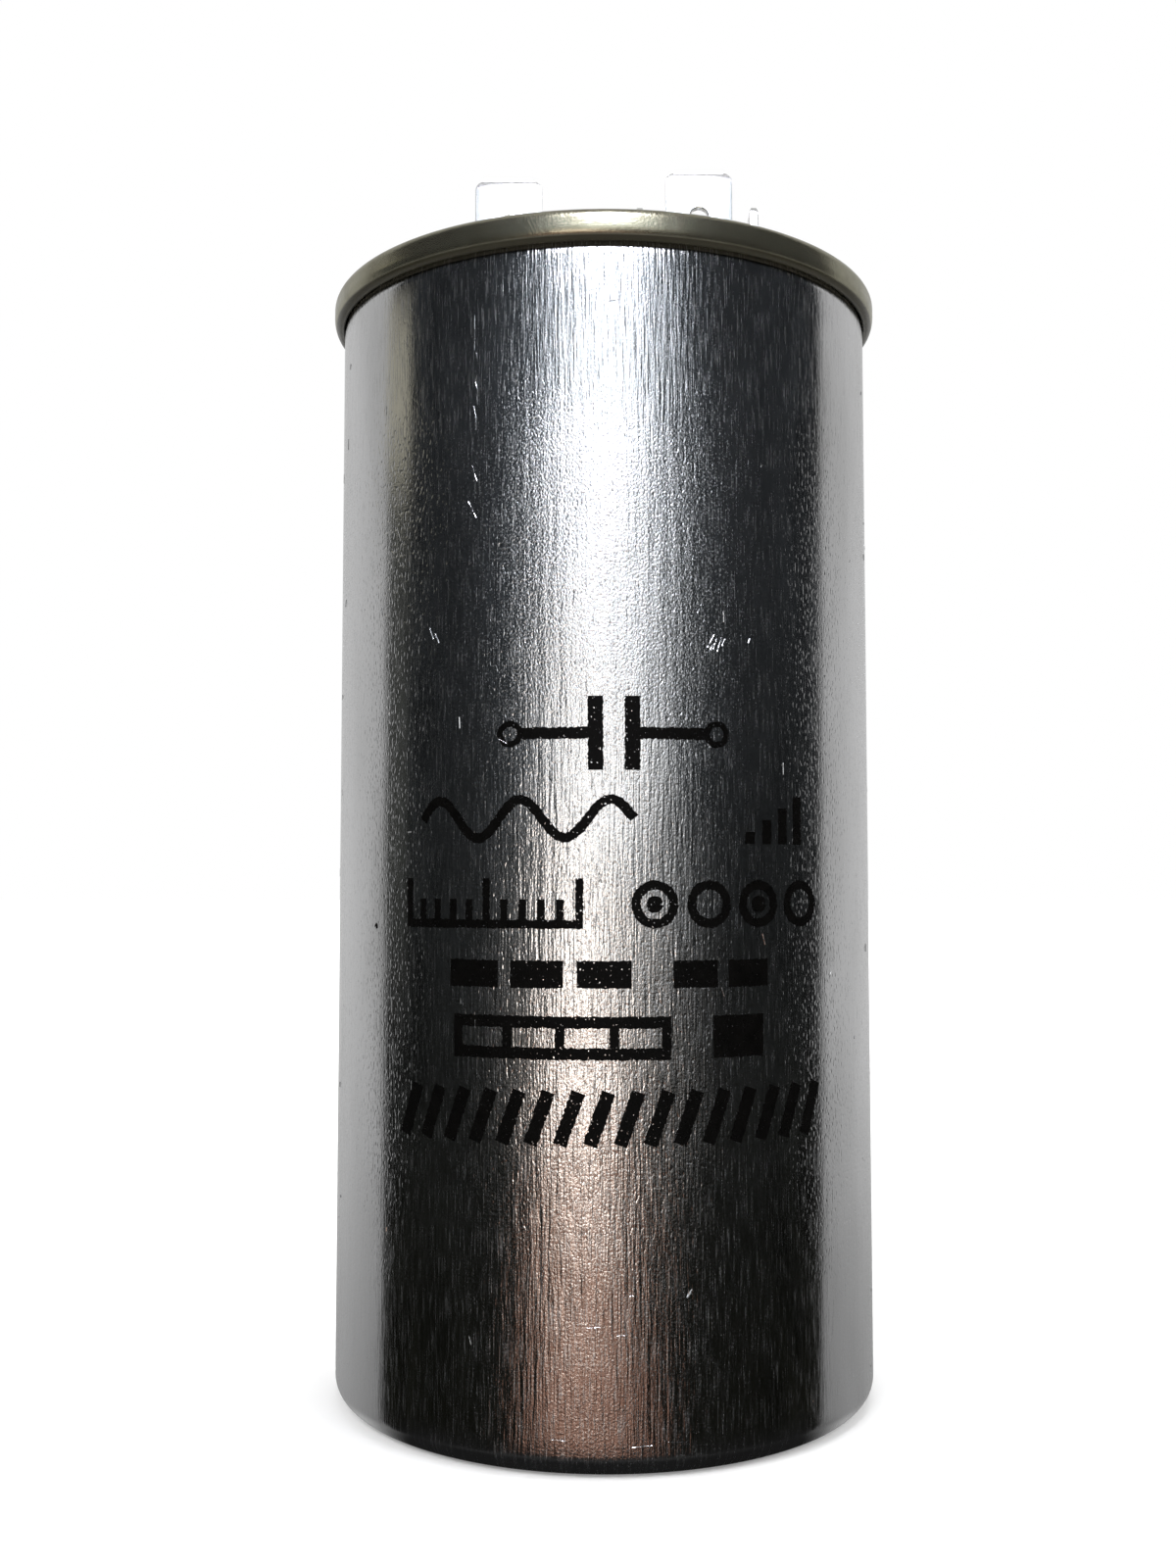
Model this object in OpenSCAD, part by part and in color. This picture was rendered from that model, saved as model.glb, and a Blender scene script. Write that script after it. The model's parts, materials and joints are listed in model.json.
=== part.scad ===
// Motor-run film capacitor: a drawn aluminium can, a tinplate cover closed by a double seam,
// and push-on tabs on two riveted terminals. Millimetres, +Z up.
// The origin is the centre of the can's underside, and the marked side faces -Y.

/* [Can] */
// Outside diameter of the can
can_d = 50; // [48:0.5:60]
// Height from the underside to the crest of the seam
body_h = 102; // [80:1:130]
// Thickness of the drawn wall
can_wall = 0.4; // [0.3:0.05:0.5]
// Thickness of the can's floor
can_floor = 0.6; // [0.5:0.1:1]
// Outside radius of the bottom corner
can_corner = 1.9; // [1.2:0.1:3]

/* [Seam] */
// Height of the seam from its lip to its crest
seam_h = 2.7; // [2.5:0.1:3.2]
// Play between the rolled layers
seam_gap = 0.04; // [0.02:0.01:0.05]
// How far the wall draws in below the seam
seam_squeeze = 0.08; // [0.06:0.01:0.12]
// Height over which it draws in
neck_h = 0.9; // [0.8:0.1:1.2]
// Distance from the end of each hook to the bend above or below it
hook_play = 0.25; // [0.15:0.05:0.5]

/* [Cover] */
// Thickness of the cover's sheet
cover_sheet = 0.26; // [0.22:0.02:0.34]
// Depth of the panel below the crest of the seam
panel_depth = 4.4; // [4.2:0.1:5.4]
// Depth of the groove round the panel
groove_depth = 1.6; // [1.5:0.1:2]
// Outside radius of the groove's round bottom
groove_r = 0.8; // [0.6:0.05:0.9]
// Inside radius of the bend from the groove to the panel
panel_bend = 0.2; // [0.1:0.05:0.3]
// Distance of the expansion bead from the can's side
bead_inset = 5.4; // [4.6:0.1:5.8]
// Outside radius of the expansion bead
bead_r = 0.9; // [0.7:0.05:1]

/* [Terminals] */
// Distance between the two terminals
terminal_pitch = 18; // [17:0.5:20]
// Height of the bracket's seat above the panel
insulator_h = 4; // [3.4:0.1:6]
// Wall of the insulator outside the bracket's ends
insulator_margin = 0.8; // [0.5:0.1:1.2]
// How far the insulator's flange stands out
flange_step = 0.8; // [0.5:0.1:1]
// Thickness of the insulator's flange
flange_t = 1.3; // [1.1:0.1:1.6]
// Depth of the slot that keeps a bracket from turning
slot_depth = 0.6; // [0.3:0.1:0.7]
// Depth of the creepage groove round the insulator
creep_depth = 0.7; // [0.4:0.1:1]
// Width of the creepage groove
creep_w = 0.9; // [0.6:0.1:1.2]
// Radius of the insulator's top edge
insulator_round = 0.4; // [0.2:0.1:0.6]
// Play of a bracket in its slot
slot_play = 0.1; // [0.05:0.05:0.2]
// Diameter of the insulator's spigot through the cover
spigot_d = 8; // [7:0.1:9]
// Play of the spigot in the cover and in the washer
spigot_play = 0.15; // [0.1:0.05:0.3]
// How far the spigot reaches below the cover
spigot_reach = 1; // [0.6:0.1:1.4]
// Distance of the rubber sealing ring from the edge of the cover's hole
seal_inset = 0.15; // [0.1:0.05:0.4]
// Play of the sealing ring in its groove
seal_play = 0.05; // [0.03:0.01:0.1]
// Width of the rubber sealing ring
seal_w = 1.4; // [1:0.1:1.6]
// Thickness of the rubber sealing ring
seal_t = 0.8; // [0.5:0.1:1]
// Diameter of the insulating washer under the cover
washer_d = 13; // [12:0.5:14]
// Thickness of the insulating washer
washer_t = 2; // [1.8:0.1:2.6]

/* [Push-on tabs] */
// Width of a tab
tab_w = 6.3; // [5.6:0.1:6.6]
// Thickness of a tab
tab_t = 0.8; // [0.75:0.05:1]
// Distance between the middles of a bracket's two tabs
tab_spread = 11; // [10:0.5:12]
// Height of a bracket from its underside to its tips
tab_h = 11.6; // [10:0.1:14]
// Height of the bracket that lies crosswise under another
cross_tab_h = 10.5; // [9.5:0.1:14]
// Inside radius of a bracket's bends
tab_bend = 0.6; // [0.4:0.1:1]
// Radius of a tip's corners
tip_corner = 1; // [0.6:0.1:1.6]
// Length of the bevel at a tip
tip_bevel = 0.7; // [0.4:0.1:1]
// Thickness left at the end of a tip
tip_t = 0.4; // [0.3:0.05:0.6]
// Diameter of the latch hole
latch_d = 1.8; // [1.4:0.1:2.2]
// Distance of the latch hole from the tip
latch_drop = 4.3; // [3.6:0.1:4.8]

/* [Rivets and lugs] */
// Diameter of a rivet's shank
rivet_d = 3.2; // [2.6:0.1:3.6]
// Diameter of a rivet's head
rivet_head_d = 5.6; // [5:0.1:6]
// Height of a rivet's head
rivet_head_h = 1.2; // [0.9:0.1:1.5]
// Height of the closed end inside
rivet_tail_h = 0.9; // [0.7:0.1:1.1]
// Play round a rivet's shank
rivet_play = 0.1; // [0.05:0.05:0.2]
// Thickness of a solder lug
lug_t = 0.5; // [0.4:0.1:0.8]
// Diameter of a lug's eye
lug_d = 7.2; // [6.6:0.1:8]
// Width of a lug's tail
lug_tail_w = 3.6; // [3:0.1:4.5]
// Distance of the wire from the rivet
lug_reach = 8.2; // [8:0.1:9]
// Metal left beyond the wire's hole
lug_edge = 0.9; // [0.6:0.1:1.4]

/* [Winding] */
// Diameter of the plastic core
core_d = 10; // [8:0.5:12]
// Wall of the plastic core
core_wall = 1.5; // [1:0.1:2]
// Thickness of the sprayed metal on each end
spray_t = 0.6; // [0.4:0.1:1]
// Thickness of the plastic sleeve
wrap_t = 0.6; // [0.4:0.1:1]
// Play between the winding, its sleeve and its core
winding_play = 0.05; // [0.02:0.01:0.1]

/* [Inner plastics] */
// Wall of the bottom cup
cup_wall = 1; // [0.8:0.1:1.5]
// Floor of the bottom cup
cup_floor = 1.2; // [1:0.1:2]
// Height of the cup's wall above the can's floor
cup_h = 16; // [10:1:30]
// Height of the seat that keeps the winding off the cup's floor
cup_seat_h = 2; // [1.8:0.1:3]
// Width of that seat
cup_seat_w = 7; // [5:0.5:8]
// Floor of the spacer disc
spacer_t = 1.5; // [1:0.1:2]
// Wall of the spacer disc's skirt
spacer_wall = 1.2; // [1:0.1:1.6]
// Room for the leads between the winding and the spacer disc
lead_room = 2; // [1.8:0.1:3]
// Room between the spacer disc and the cover
head_room = 8; // [7.6:0.1:10]
// Play of the cup and the spacer disc in the can
fit_play = 0.15; // [0.1:0.05:0.2]

/* [Leads] */
// Diameter of a lead wire
wire_d = 1.2; // [0.9:0.1:1.4]
// Radius of a lead's bends, to the middle of the wire
wire_bend = 2; // [1.6:0.1:2.2]
// Length of the foot soldered to the end spray
foot_l = 12; // [8:0.5:13]
// Diameter left in the notch where a lead breaks
notch_d = 0.7; // [0.5:0.1:0.8]
// Length of the notch
notch_l = 0.4; // [0.2:0.1:0.6]
// Play round a wire in the holes of the lugs
wire_play = 0.1; // [0.05:0.05:0.2]
// Play round a wire in the holes of the spacer disc
guide_play = 0.4; // [0.3:0.1:0.6]
// Gap filled by solder between a wire and the end spray
solder_gap = 0.05; // [0.02:0.01:0.1]

/* [Hidden] */
$fn = 128;
arc_fn = 32;

// Radii of the can and of the rolled layers, from the inside out
can_r = can_d / 2;
can_in = can_r - can_wall;
neck_out = can_r - seam_squeeze;
neck_in = neck_out - can_wall;
chuck_out = neck_in - seam_gap;
chuck_in = chuck_out - cover_sheet;
cover_hook_in = neck_out + seam_gap;
cover_hook_out = cover_hook_in + cover_sheet;
can_hook_in = cover_hook_out + seam_gap;
can_hook_out = can_hook_in + can_wall;
skirt_in = can_hook_out + seam_gap;
skirt_out = skirt_in + cover_sheet;

// The crest and the fold under it
crest_r = (skirt_out - chuck_in) / 2;
crest_mid = (skirt_out + chuck_in) / 2;
crest_z = body_h - crest_r;
can_crest_r = (can_hook_out - neck_in) / 2;
fold_r = (skirt_out - cover_hook_in) / 2;
fold_mid = (skirt_out + cover_hook_in) / 2;
lip_z = body_h - seam_h;
neck_z = lip_z - neck_h;
fold_z = lip_z + fold_r;
cover_hook_top = crest_z - hook_play;
can_hook_end = fold_z + hook_play;

// The panel and the groove round it
panel_z = body_h - panel_depth;
panel_under = panel_z - cover_sheet;
groove_bottom = panel_z - groove_depth;
groove_z = groove_bottom + groove_r;
groove_mid = chuck_out - groove_r;
groove_in = chuck_out - 2 * groove_r;
bend_mid = groove_in - panel_bend;
bend_z = panel_under - panel_bend;
bead_mid = can_r - bead_inset;

// The terminals
terminal_x = terminal_pitch / 2;
seat_z = panel_z + insulator_h;
insulator_d = tab_spread + tab_t + 2 * insulator_margin;
flange_d = insulator_d + 2 * flange_step;
insulator_top = seat_z + slot_depth;
creep_z = (panel_z + flange_t + seat_z - creep_w) / 2;
rivet_hole_d = rivet_d + 2 * rivet_play;
seal_in = spigot_d / 2 + spigot_play + seal_inset;
washer_z = panel_under - washer_t;
lug_z = washer_z - lug_t;
lug_end = wire_d / 2 + wire_play + lug_edge;

// The stack inside, from the can's floor up
cup_out = can_in - fit_play;
cup_in = cup_out - cup_wall;
cup_corner = can_corner - can_wall + fit_play / 2;
wrap_out = cup_in - winding_play;
wrap_in = wrap_out - wrap_t;
winding_r = wrap_in - winding_play;
core_hole = core_d / 2 + winding_play;
stack_z = can_floor + cup_floor + cup_seat_h;
spacer_top = panel_under - head_room;
spacer_z = spacer_top - spacer_t;
winding_z = stack_z + spray_t;
spray_top_z = spacer_z - lead_room - spray_t;
core_l = spray_top_z + spray_t - stack_z;
spacer_out = can_in - fit_play;
spacer_skirt_top = groove_bottom - fit_play;

// The leads
wire_r = wire_d / 2;
wire_end = washer_z + wire_r;
top_foot_z = spray_top_z + spray_t + solder_gap + wire_r;
bottom_foot_z = stack_z - solder_gap - wire_r;
lead_run_z = spacer_top + wire_bend;
// The run is cut to a hundredth of a millimetre, well inside the play round the wire
lead_run_l = round(100 * norm([terminal_x, lug_reach])) / 100;
lead_turn = atan2(lug_reach, terminal_x);
notch_z = (lead_run_z + wire_bend + lug_z - notch_l) / 2;

aluminium = [0.80, 0.81, 0.82];
tinplate = [0.60, 0.60, 0.56];
tinned = [0.84, 0.84, 0.83];
black_plastic = [0.10, 0.10, 0.11];
rubber = [0.22, 0.21, 0.21];
brown_board = [0.40, 0.26, 0.15];
white_plastic = [0.92, 0.92, 0.90];
metal_film = [0.72, 0.75, 0.78];
zinc = [0.58, 0.60, 0.62];
clear_film = [0.84, 0.87, 0.90];

// Quarter of a disc about the origin, on the side that the two signs point to
module quarter(r, x_side, y_side) {
  intersection() {
    circle(r, $fn = arc_fn);
    translate([x_side > 0 ? 0 : -2 * r, y_side > 0 ? 0 : -2 * r]) square(2 * r);
  }
}

// Half of a sheet's round bend about the origin, above it or below it
module half_bend(r, sheet, y_side) {
  difference() {
    intersection() {
      circle(r, $fn = arc_fn);
      translate([-2 * r, y_side > 0 ? 0 : -2 * r]) square([4 * r, 2 * r]);
    }
    circle(r - sheet, $fn = arc_fn);
  }
}

// Quarter of a sheet's round bend about the origin
module quarter_bend(r, sheet, x_side, y_side) {
  difference() {
    quarter(r, x_side, y_side);
    circle(r - sheet, $fn = arc_fn);
  }
}

// Rectangle between two radii and two heights
module band(r_in, r_out, z_low, z_high) {
  translate([r_in, z_low]) square([r_out - r_in, z_high - z_low]);
}

// Half section of a pot: radius r, from z_low to z_high, with a round bottom corner
module pot(r, z_low, z_high, corner) {
  band(0, r - corner, z_low, z_low + corner);
  band(0, r, z_low + corner, z_high);
  translate([r - corner, z_low + corner]) quarter(corner, 1, -1);
}

// Straight tube standing on z_low
module tube(r_in, r_out, z_low, z_high) {
  rotate_extrude() band(r_in, r_out, z_low, z_high);
}

// Places its children at the left (-1) or the right (1) terminal
module at_terminal(side) {
  translate([side * terminal_x, 0, 0]) children();
}

// Drawn can: its wall draws in below the seam, and its edge is rolled out and down into it
module can() {
  color(aluminium) rotate_extrude() {
    difference() {
      pot(can_r, 0, neck_z, can_corner);
      pot(can_in, can_floor, body_h, can_corner - can_wall);
    }
    polygon([[can_in, neck_z], [can_r, neck_z], [neck_out, lip_z], [neck_in, lip_z]]);
    band(neck_in, neck_out, lip_z, crest_z);
    translate([crest_mid, crest_z]) half_bend(can_crest_r, can_wall, 1);
    band(can_hook_in, can_hook_out, can_hook_end, crest_z);
  }
}

// Half section of the cover's sheet, from its hook over the crest to the panel
module cover_section() {
  band(cover_hook_in, cover_hook_out, fold_z, cover_hook_top);
  translate([fold_mid, fold_z]) half_bend(fold_r, cover_sheet, -1);
  band(skirt_in, skirt_out, fold_z, crest_z);
  translate([crest_mid, crest_z]) half_bend(crest_r, cover_sheet, 1);
  band(chuck_in, chuck_out, groove_z, crest_z);
  translate([groove_mid, groove_z]) half_bend(groove_r, cover_sheet, -1);
  band(groove_in, groove_in + cover_sheet, groove_z, bend_z);
  translate([bend_mid, bend_z]) quarter_bend(panel_bend + cover_sheet, cover_sheet, 1, 1);
  difference() {
    union() {
      band(0, bend_mid, panel_under, panel_z);
      translate([bead_mid, panel_under]) half_bend(bead_r, cover_sheet, 1);
    }
    translate([bead_mid, panel_under]) circle(bead_r - cover_sheet, $fn = arc_fn);
  }
}

// Tinplate cover with the expansion bead and the two terminal holes
module cover() {
  color(tinplate) difference() {
    rotate_extrude() cover_section();
    for (side = [-1, 1])
      at_terminal(side)
        translate([0, 0, panel_under - cover_sheet])
          cylinder(r = spigot_d / 2 + spigot_play, h = 3 * cover_sheet);
  }
}

// Bead of sealing compound above the cover's hook, in the head of the seam
module seam_gasket() {
  color(rubber) tube(cover_hook_in, cover_hook_out, cover_hook_top, crest_z);
}

// Half section of a terminal insulator
module insulator_section() {
  round_z = insulator_top - insulator_round;
  band(0, flange_d / 2, panel_z, panel_z + flange_t);
  band(0, insulator_d / 2, panel_z + flange_t, round_z);
  band(0, insulator_d / 2 - insulator_round, round_z, insulator_top);
  translate([insulator_d / 2 - insulator_round, round_z]) quarter(insulator_round, 1, 1);
  band(0, spigot_d / 2, panel_under - spigot_reach, panel_z);
}

// Moulded bushing whose slot holds a bracket that runs along Y
module terminal_insulator() {
  color(black_plastic) difference() {
    rotate_extrude() difference() {
      insulator_section();
      band(0, rivet_hole_d / 2, lug_z, seat_z + tab_h);
      band(insulator_d / 2 - creep_depth, insulator_d, creep_z, creep_z + creep_w);
      band(seal_in - seal_play, seal_in + seal_w + seal_play, panel_z - seal_t, panel_z + seal_t);
    }
    translate([-tab_w / 2 - slot_play, -insulator_d, seat_z])
      cube([tab_w + 2 * slot_play, 2 * insulator_d, 2 * slot_depth]);
  }
}

// Rubber ring that seals the hole in the cover
module terminal_seal() {
  color(rubber) tube(seal_in, seal_in + seal_w, panel_z, panel_z + seal_t);
}

// Insulating washer under the cover, recessed for the spigot
module inner_insulator() {
  recess_z = panel_under - spigot_reach - spigot_play;
  color(black_plastic) rotate_extrude() {
    band(rivet_hole_d / 2, washer_d / 2, washer_z, recess_z);
    band(spigot_d / 2 + spigot_play, washer_d / 2, recess_z, panel_under);
  }
}

// Side view of a strip bent to height h: the base, the two bends and the two bevelled tabs
module bracket_strip(h) {
  bend_out = tab_bend + tab_t;
  tab_out = (tab_spread + tab_t) / 2;
  base_half = tab_out - bend_out;
  bevel_inset = (tab_t - tip_t) / 2;
  translate([-base_half, 0]) square([2 * base_half, tab_t]);
  for (side = [0, 1])
    mirror([side, 0]) {
      translate([base_half, bend_out]) quarter_bend(bend_out, tab_t, 1, -1);
      band(tab_out - tab_t, tab_out, bend_out, h - tip_bevel);
      translate([tab_out - tab_t, h - tip_bevel])
        polygon([[0, 0], [tab_t, 0], [tab_t - bevel_inset, tip_bevel], [bevel_inset, tip_bevel]]);
    }
}

// Front view of a tab that reaches up to h: straight sides and round tip corners
module tab_face(h) {
  half = tab_w / 2;
  band(-half, half, 0, h - tip_corner);
  band(-half + tip_corner, half - tip_corner, h - tip_corner, h);
  translate([half - tip_corner, h - tip_corner]) quarter(tip_corner, 1, 1);
  translate([tip_corner - half, h - tip_corner]) quarter(tip_corner, -1, 1);
}

// Bracket of height h with one tab towards -Y and one towards +Y, its underside on z = 0
module tab_bracket(h) {
  color(tinned) difference() {
    intersection() {
      rotate([90, 0, 90]) translate([0, 0, -tab_w]) linear_extrude(2 * tab_w) bracket_strip(h);
      rotate([90, 0, 0]) translate([0, 0, -tab_spread]) linear_extrude(2 * tab_spread) tab_face(h);
    }
    translate([0, 0, -tab_t]) cylinder(d = rivet_hole_d, h = 3 * tab_t);
    translate([0, tab_spread, h - latch_drop])
      rotate([90, 0, 0]) cylinder(d = latch_d, h = 2 * tab_spread);
  }
}

// Half section of a low dome of diameter d and height h, standing on the origin
module dome_section(d, h) {
  ball_r = (d * d / 4 + h * h) / (2 * h);
  intersection() {
    translate([0, h - ball_r]) circle(ball_r);
    square([d, 2 * h]);
  }
}

// Rivet whose head rests on a stack of so many strips
module rivet(strips) {
  head_z = seat_z + strips * tab_t;
  color(tinned) rotate_extrude() {
    band(0, rivet_d / 2, lug_z, head_z);
    translate([0, head_z]) dome_section(rivet_head_d, rivet_head_h);
    translate([0, lug_z]) mirror([0, 1]) dome_section(rivet_head_d, rivet_tail_h);
  }
}

// Flat lug on the rivet's inner end, with its tail towards +Y
module solder_lug() {
  color(tinned) translate([0, 0, lug_z]) difference() {
    linear_extrude(lug_t) {
      circle(d = lug_d);
      translate([-lug_tail_w / 2, 0]) square([lug_tail_w, lug_reach + lug_end]);
    }
    translate([0, 0, -lug_t]) cylinder(d = rivet_hole_d, h = 3 * lug_t);
    translate([0, lug_reach, -lug_t]) cylinder(d = wire_d + 2 * wire_play, h = 3 * lug_t);
  }
}

// Quarter turn of wire about the origin in the XZ plane, starting at the given angle
module wire_elbow(start) {
  rotate([90, 0, 0]) rotate([0, 0, start])
    rotate_extrude(angle = 90) translate([wire_bend, 0]) circle(wire_r, $fn = arc_fn);
}

// Straight upright wire, thinned at the break notch where that lies between its ends
module wire_rise(z_low, z_high) {
  cuts = z_low < notch_z && notch_z + notch_l < z_high;
  translate([0, 0, z_low]) cylinder(r = wire_r, h = (cuts ? notch_z : z_high) - z_low, $fn = arc_fn);
  if (cuts) {
    translate([0, 0, notch_z]) cylinder(d = notch_d, h = notch_l, $fn = arc_fn);
    translate([0, 0, notch_z + notch_l])
      cylinder(r = wire_r, h = z_high - notch_z - notch_l, $fn = arc_fn);
  }
}

// Straight wire along +X from x_low to x_high at height z
module wire_level(x_low, x_high, z) {
  translate([x_low, 0, z]) rotate([0, 90, 0]) cylinder(r = wire_r, h = x_high - x_low, $fn = arc_fn);
}

// Foot along +X at height z, and the elbow that turns it up at x = 0
module wire_foot(z) {
  wire_level(wire_bend, foot_l, z);
  translate([wire_bend, 0, z + wire_bend]) wire_elbow(180);
}

// Lead from the top end spray straight up to the left lug
module top_lead() {
  color(tinned) translate([-terminal_x, lug_reach, 0]) rotate([0, 0, -90]) {
    wire_foot(top_foot_z);
    wire_rise(top_foot_z + wire_bend, wire_end);
  }
}

// Lead from the bottom end spray through the core and across to the right lug
module bottom_lead() {
  color(tinned) rotate([0, 0, lead_turn]) {
    wire_foot(bottom_foot_z);
    wire_rise(bottom_foot_z + wire_bend, lead_run_z - wire_bend);
    translate([wire_bend, 0, lead_run_z - wire_bend]) wire_elbow(90);
    wire_level(wire_bend, lead_run_l - wire_bend, lead_run_z);
    translate([lead_run_l - wire_bend, 0, lead_run_z + wire_bend]) wire_elbow(270);
    translate([lead_run_l, 0, 0]) wire_rise(lead_run_z + wire_bend, wire_end);
  }
}

// Plate over the winding: its skirt reaches up to the cover's groove and holds the stack down
module spacer_disc() {
  guide_d = wire_d + 2 * guide_play;
  color(brown_board) difference() {
    rotate_extrude() {
      band(0, spacer_out, spacer_z, spacer_top);
      band(spacer_out - spacer_wall, spacer_out, spacer_top, spacer_skirt_top);
    }
    for (place = [[0, 0], [-terminal_x, lug_reach]])
      translate([place[0], place[1], spacer_z - spacer_t]) cylinder(d = guide_d, h = 3 * spacer_t);
  }
}

// The film roll, all its turns as one solid
module film_winding() {
  color(metal_film) tube(core_hole, winding_r, winding_z, spray_top_z);
}

// Plastic tube on which the film is wound
module winding_core() {
  color(white_plastic) tube(core_d / 2 - core_wall, core_d / 2, stack_z, stack_z + core_l);
}

// Metal sprayed on one end of the roll
module end_spray(z) {
  color(zinc) tube(core_hole, winding_r, z, z + spray_t);
}

// Plastic sleeve round the roll, from the cup's seat to the spacer disc
module insulating_wrap() {
  color(clear_film) tube(wrap_in, wrap_out, stack_z, spacer_z);
}

// Cup under the winding, with a raised seat for its edge
module bottom_cup() {
  color(white_plastic) rotate_extrude() difference() {
    pot(cup_out, can_floor, can_floor + cup_h, cup_corner);
    band(0, cup_in - cup_seat_w, can_floor + cup_floor, stack_z);
    band(0, cup_in, stack_z, body_h);
  }
}

can();
cover();
seam_gasket();
at_terminal(-1) terminal_insulator();  // terminal_insulator_left
at_terminal(1) rotate([0, 0, 90]) terminal_insulator();  // terminal_insulator_right
at_terminal(-1) terminal_seal();  // terminal_seal_left
at_terminal(1) terminal_seal();  // terminal_seal_right
at_terminal(-1) inner_insulator();  // inner_insulator_left
at_terminal(1) inner_insulator();  // inner_insulator_right
at_terminal(-1) translate([0, 0, seat_z]) tab_bracket(tab_h);  // tab_bracket_left
at_terminal(1) translate([0, 0, seat_z]) rotate([0, 0, 90]) tab_bracket(cross_tab_h);  // tab_bracket_right_lower
at_terminal(1) translate([0, 0, seat_z + tab_t]) tab_bracket(tab_h);  // tab_bracket_right_upper
at_terminal(-1) rivet(1);  // rivet_left
at_terminal(1) rivet(2);  // rivet_right
at_terminal(-1) solder_lug();  // solder_lug_left
at_terminal(1) solder_lug();  // solder_lug_right
top_lead();
bottom_lead();
spacer_disc();
film_winding();
winding_core();
end_spray(spray_top_z);  // end_spray_top
end_spray(stack_z);  // end_spray_bottom
insulating_wrap();
bottom_cup();
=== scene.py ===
# Looks of a motor-run capacitor: bright drawn can, seamed tinplate cover, push-on tabs
# Metres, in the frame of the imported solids; form sizes in the dictionaries are millimetres
import json
import math
import random

import bmesh
import bpy
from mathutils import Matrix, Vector


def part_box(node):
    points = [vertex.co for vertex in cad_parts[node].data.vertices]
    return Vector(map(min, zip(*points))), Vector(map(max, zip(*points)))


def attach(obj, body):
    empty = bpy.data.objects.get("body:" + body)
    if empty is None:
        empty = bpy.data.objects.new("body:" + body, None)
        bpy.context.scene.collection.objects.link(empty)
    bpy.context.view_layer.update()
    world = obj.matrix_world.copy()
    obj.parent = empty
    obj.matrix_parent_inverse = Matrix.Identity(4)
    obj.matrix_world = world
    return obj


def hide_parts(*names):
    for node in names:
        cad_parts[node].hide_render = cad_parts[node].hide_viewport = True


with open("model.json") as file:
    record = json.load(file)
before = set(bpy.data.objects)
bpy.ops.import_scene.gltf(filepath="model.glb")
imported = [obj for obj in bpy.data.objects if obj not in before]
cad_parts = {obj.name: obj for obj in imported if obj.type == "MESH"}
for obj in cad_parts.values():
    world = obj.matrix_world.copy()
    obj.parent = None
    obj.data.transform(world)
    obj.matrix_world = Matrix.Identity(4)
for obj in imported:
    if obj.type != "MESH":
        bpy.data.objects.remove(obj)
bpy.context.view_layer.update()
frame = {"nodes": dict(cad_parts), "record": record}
scene = bpy.context.scene
scene.view_settings.view_transform = "Standard"
mm = 0.001
weld = 0.0005 * mm    # points nearer to each other than this become one
mounts = {mount["name"]: mount for mount in frame["record"]["mounts"]}
print("frame loaded:", len(frame["nodes"]), "solids")


# Objects, and guides that only shape other objects

guides = []


def addObject(name, data):
    added = bpy.data.objects.new(name, data)
    scene.collection.objects.link(added)
    return added


def addGuide(name, mesh):
    guide = addObject(name, mesh)
    guides.append(guide)
    return guide


def clearGuides():
    for guide in guides:
        bpy.data.objects.remove(guide)
    guides.clear()


def faceMesh(name, corners):    # one flat face
    mesh = bpy.data.meshes.new(name)
    mesh.from_pydata(corners, [], [list(range(len(corners)))])
    return mesh


# Camera at the photograph's viewing angle

cameraSettings = {
    "place": (-0.0015, -0.150474, 0.047335),
    "pitchUp": 0.0591,    # radians above level
    "focalPixels": 1595.8,    # for the 1200 x 1600 frame
    "frameHigh": 1600,
    "sensor": 36.0,
    "clipStart": 0.001,
}


def makeCamera(settings):
    data = bpy.data.cameras.new("photoCamera")
    data.sensor_width = settings["sensor"]
    data.lens = settings["focalPixels"] * settings["sensor"] / settings["frameHigh"]
    data.clip_start = settings["clipStart"]
    camera = addObject("photoCamera", data)
    camera.location = settings["place"]
    camera.rotation_euler = (math.pi / 2 + settings["pitchUp"], 0, 0)
    scene.camera = camera


makeCamera(cameraSettings)
print("camera placed")


# Node wiring

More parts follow.
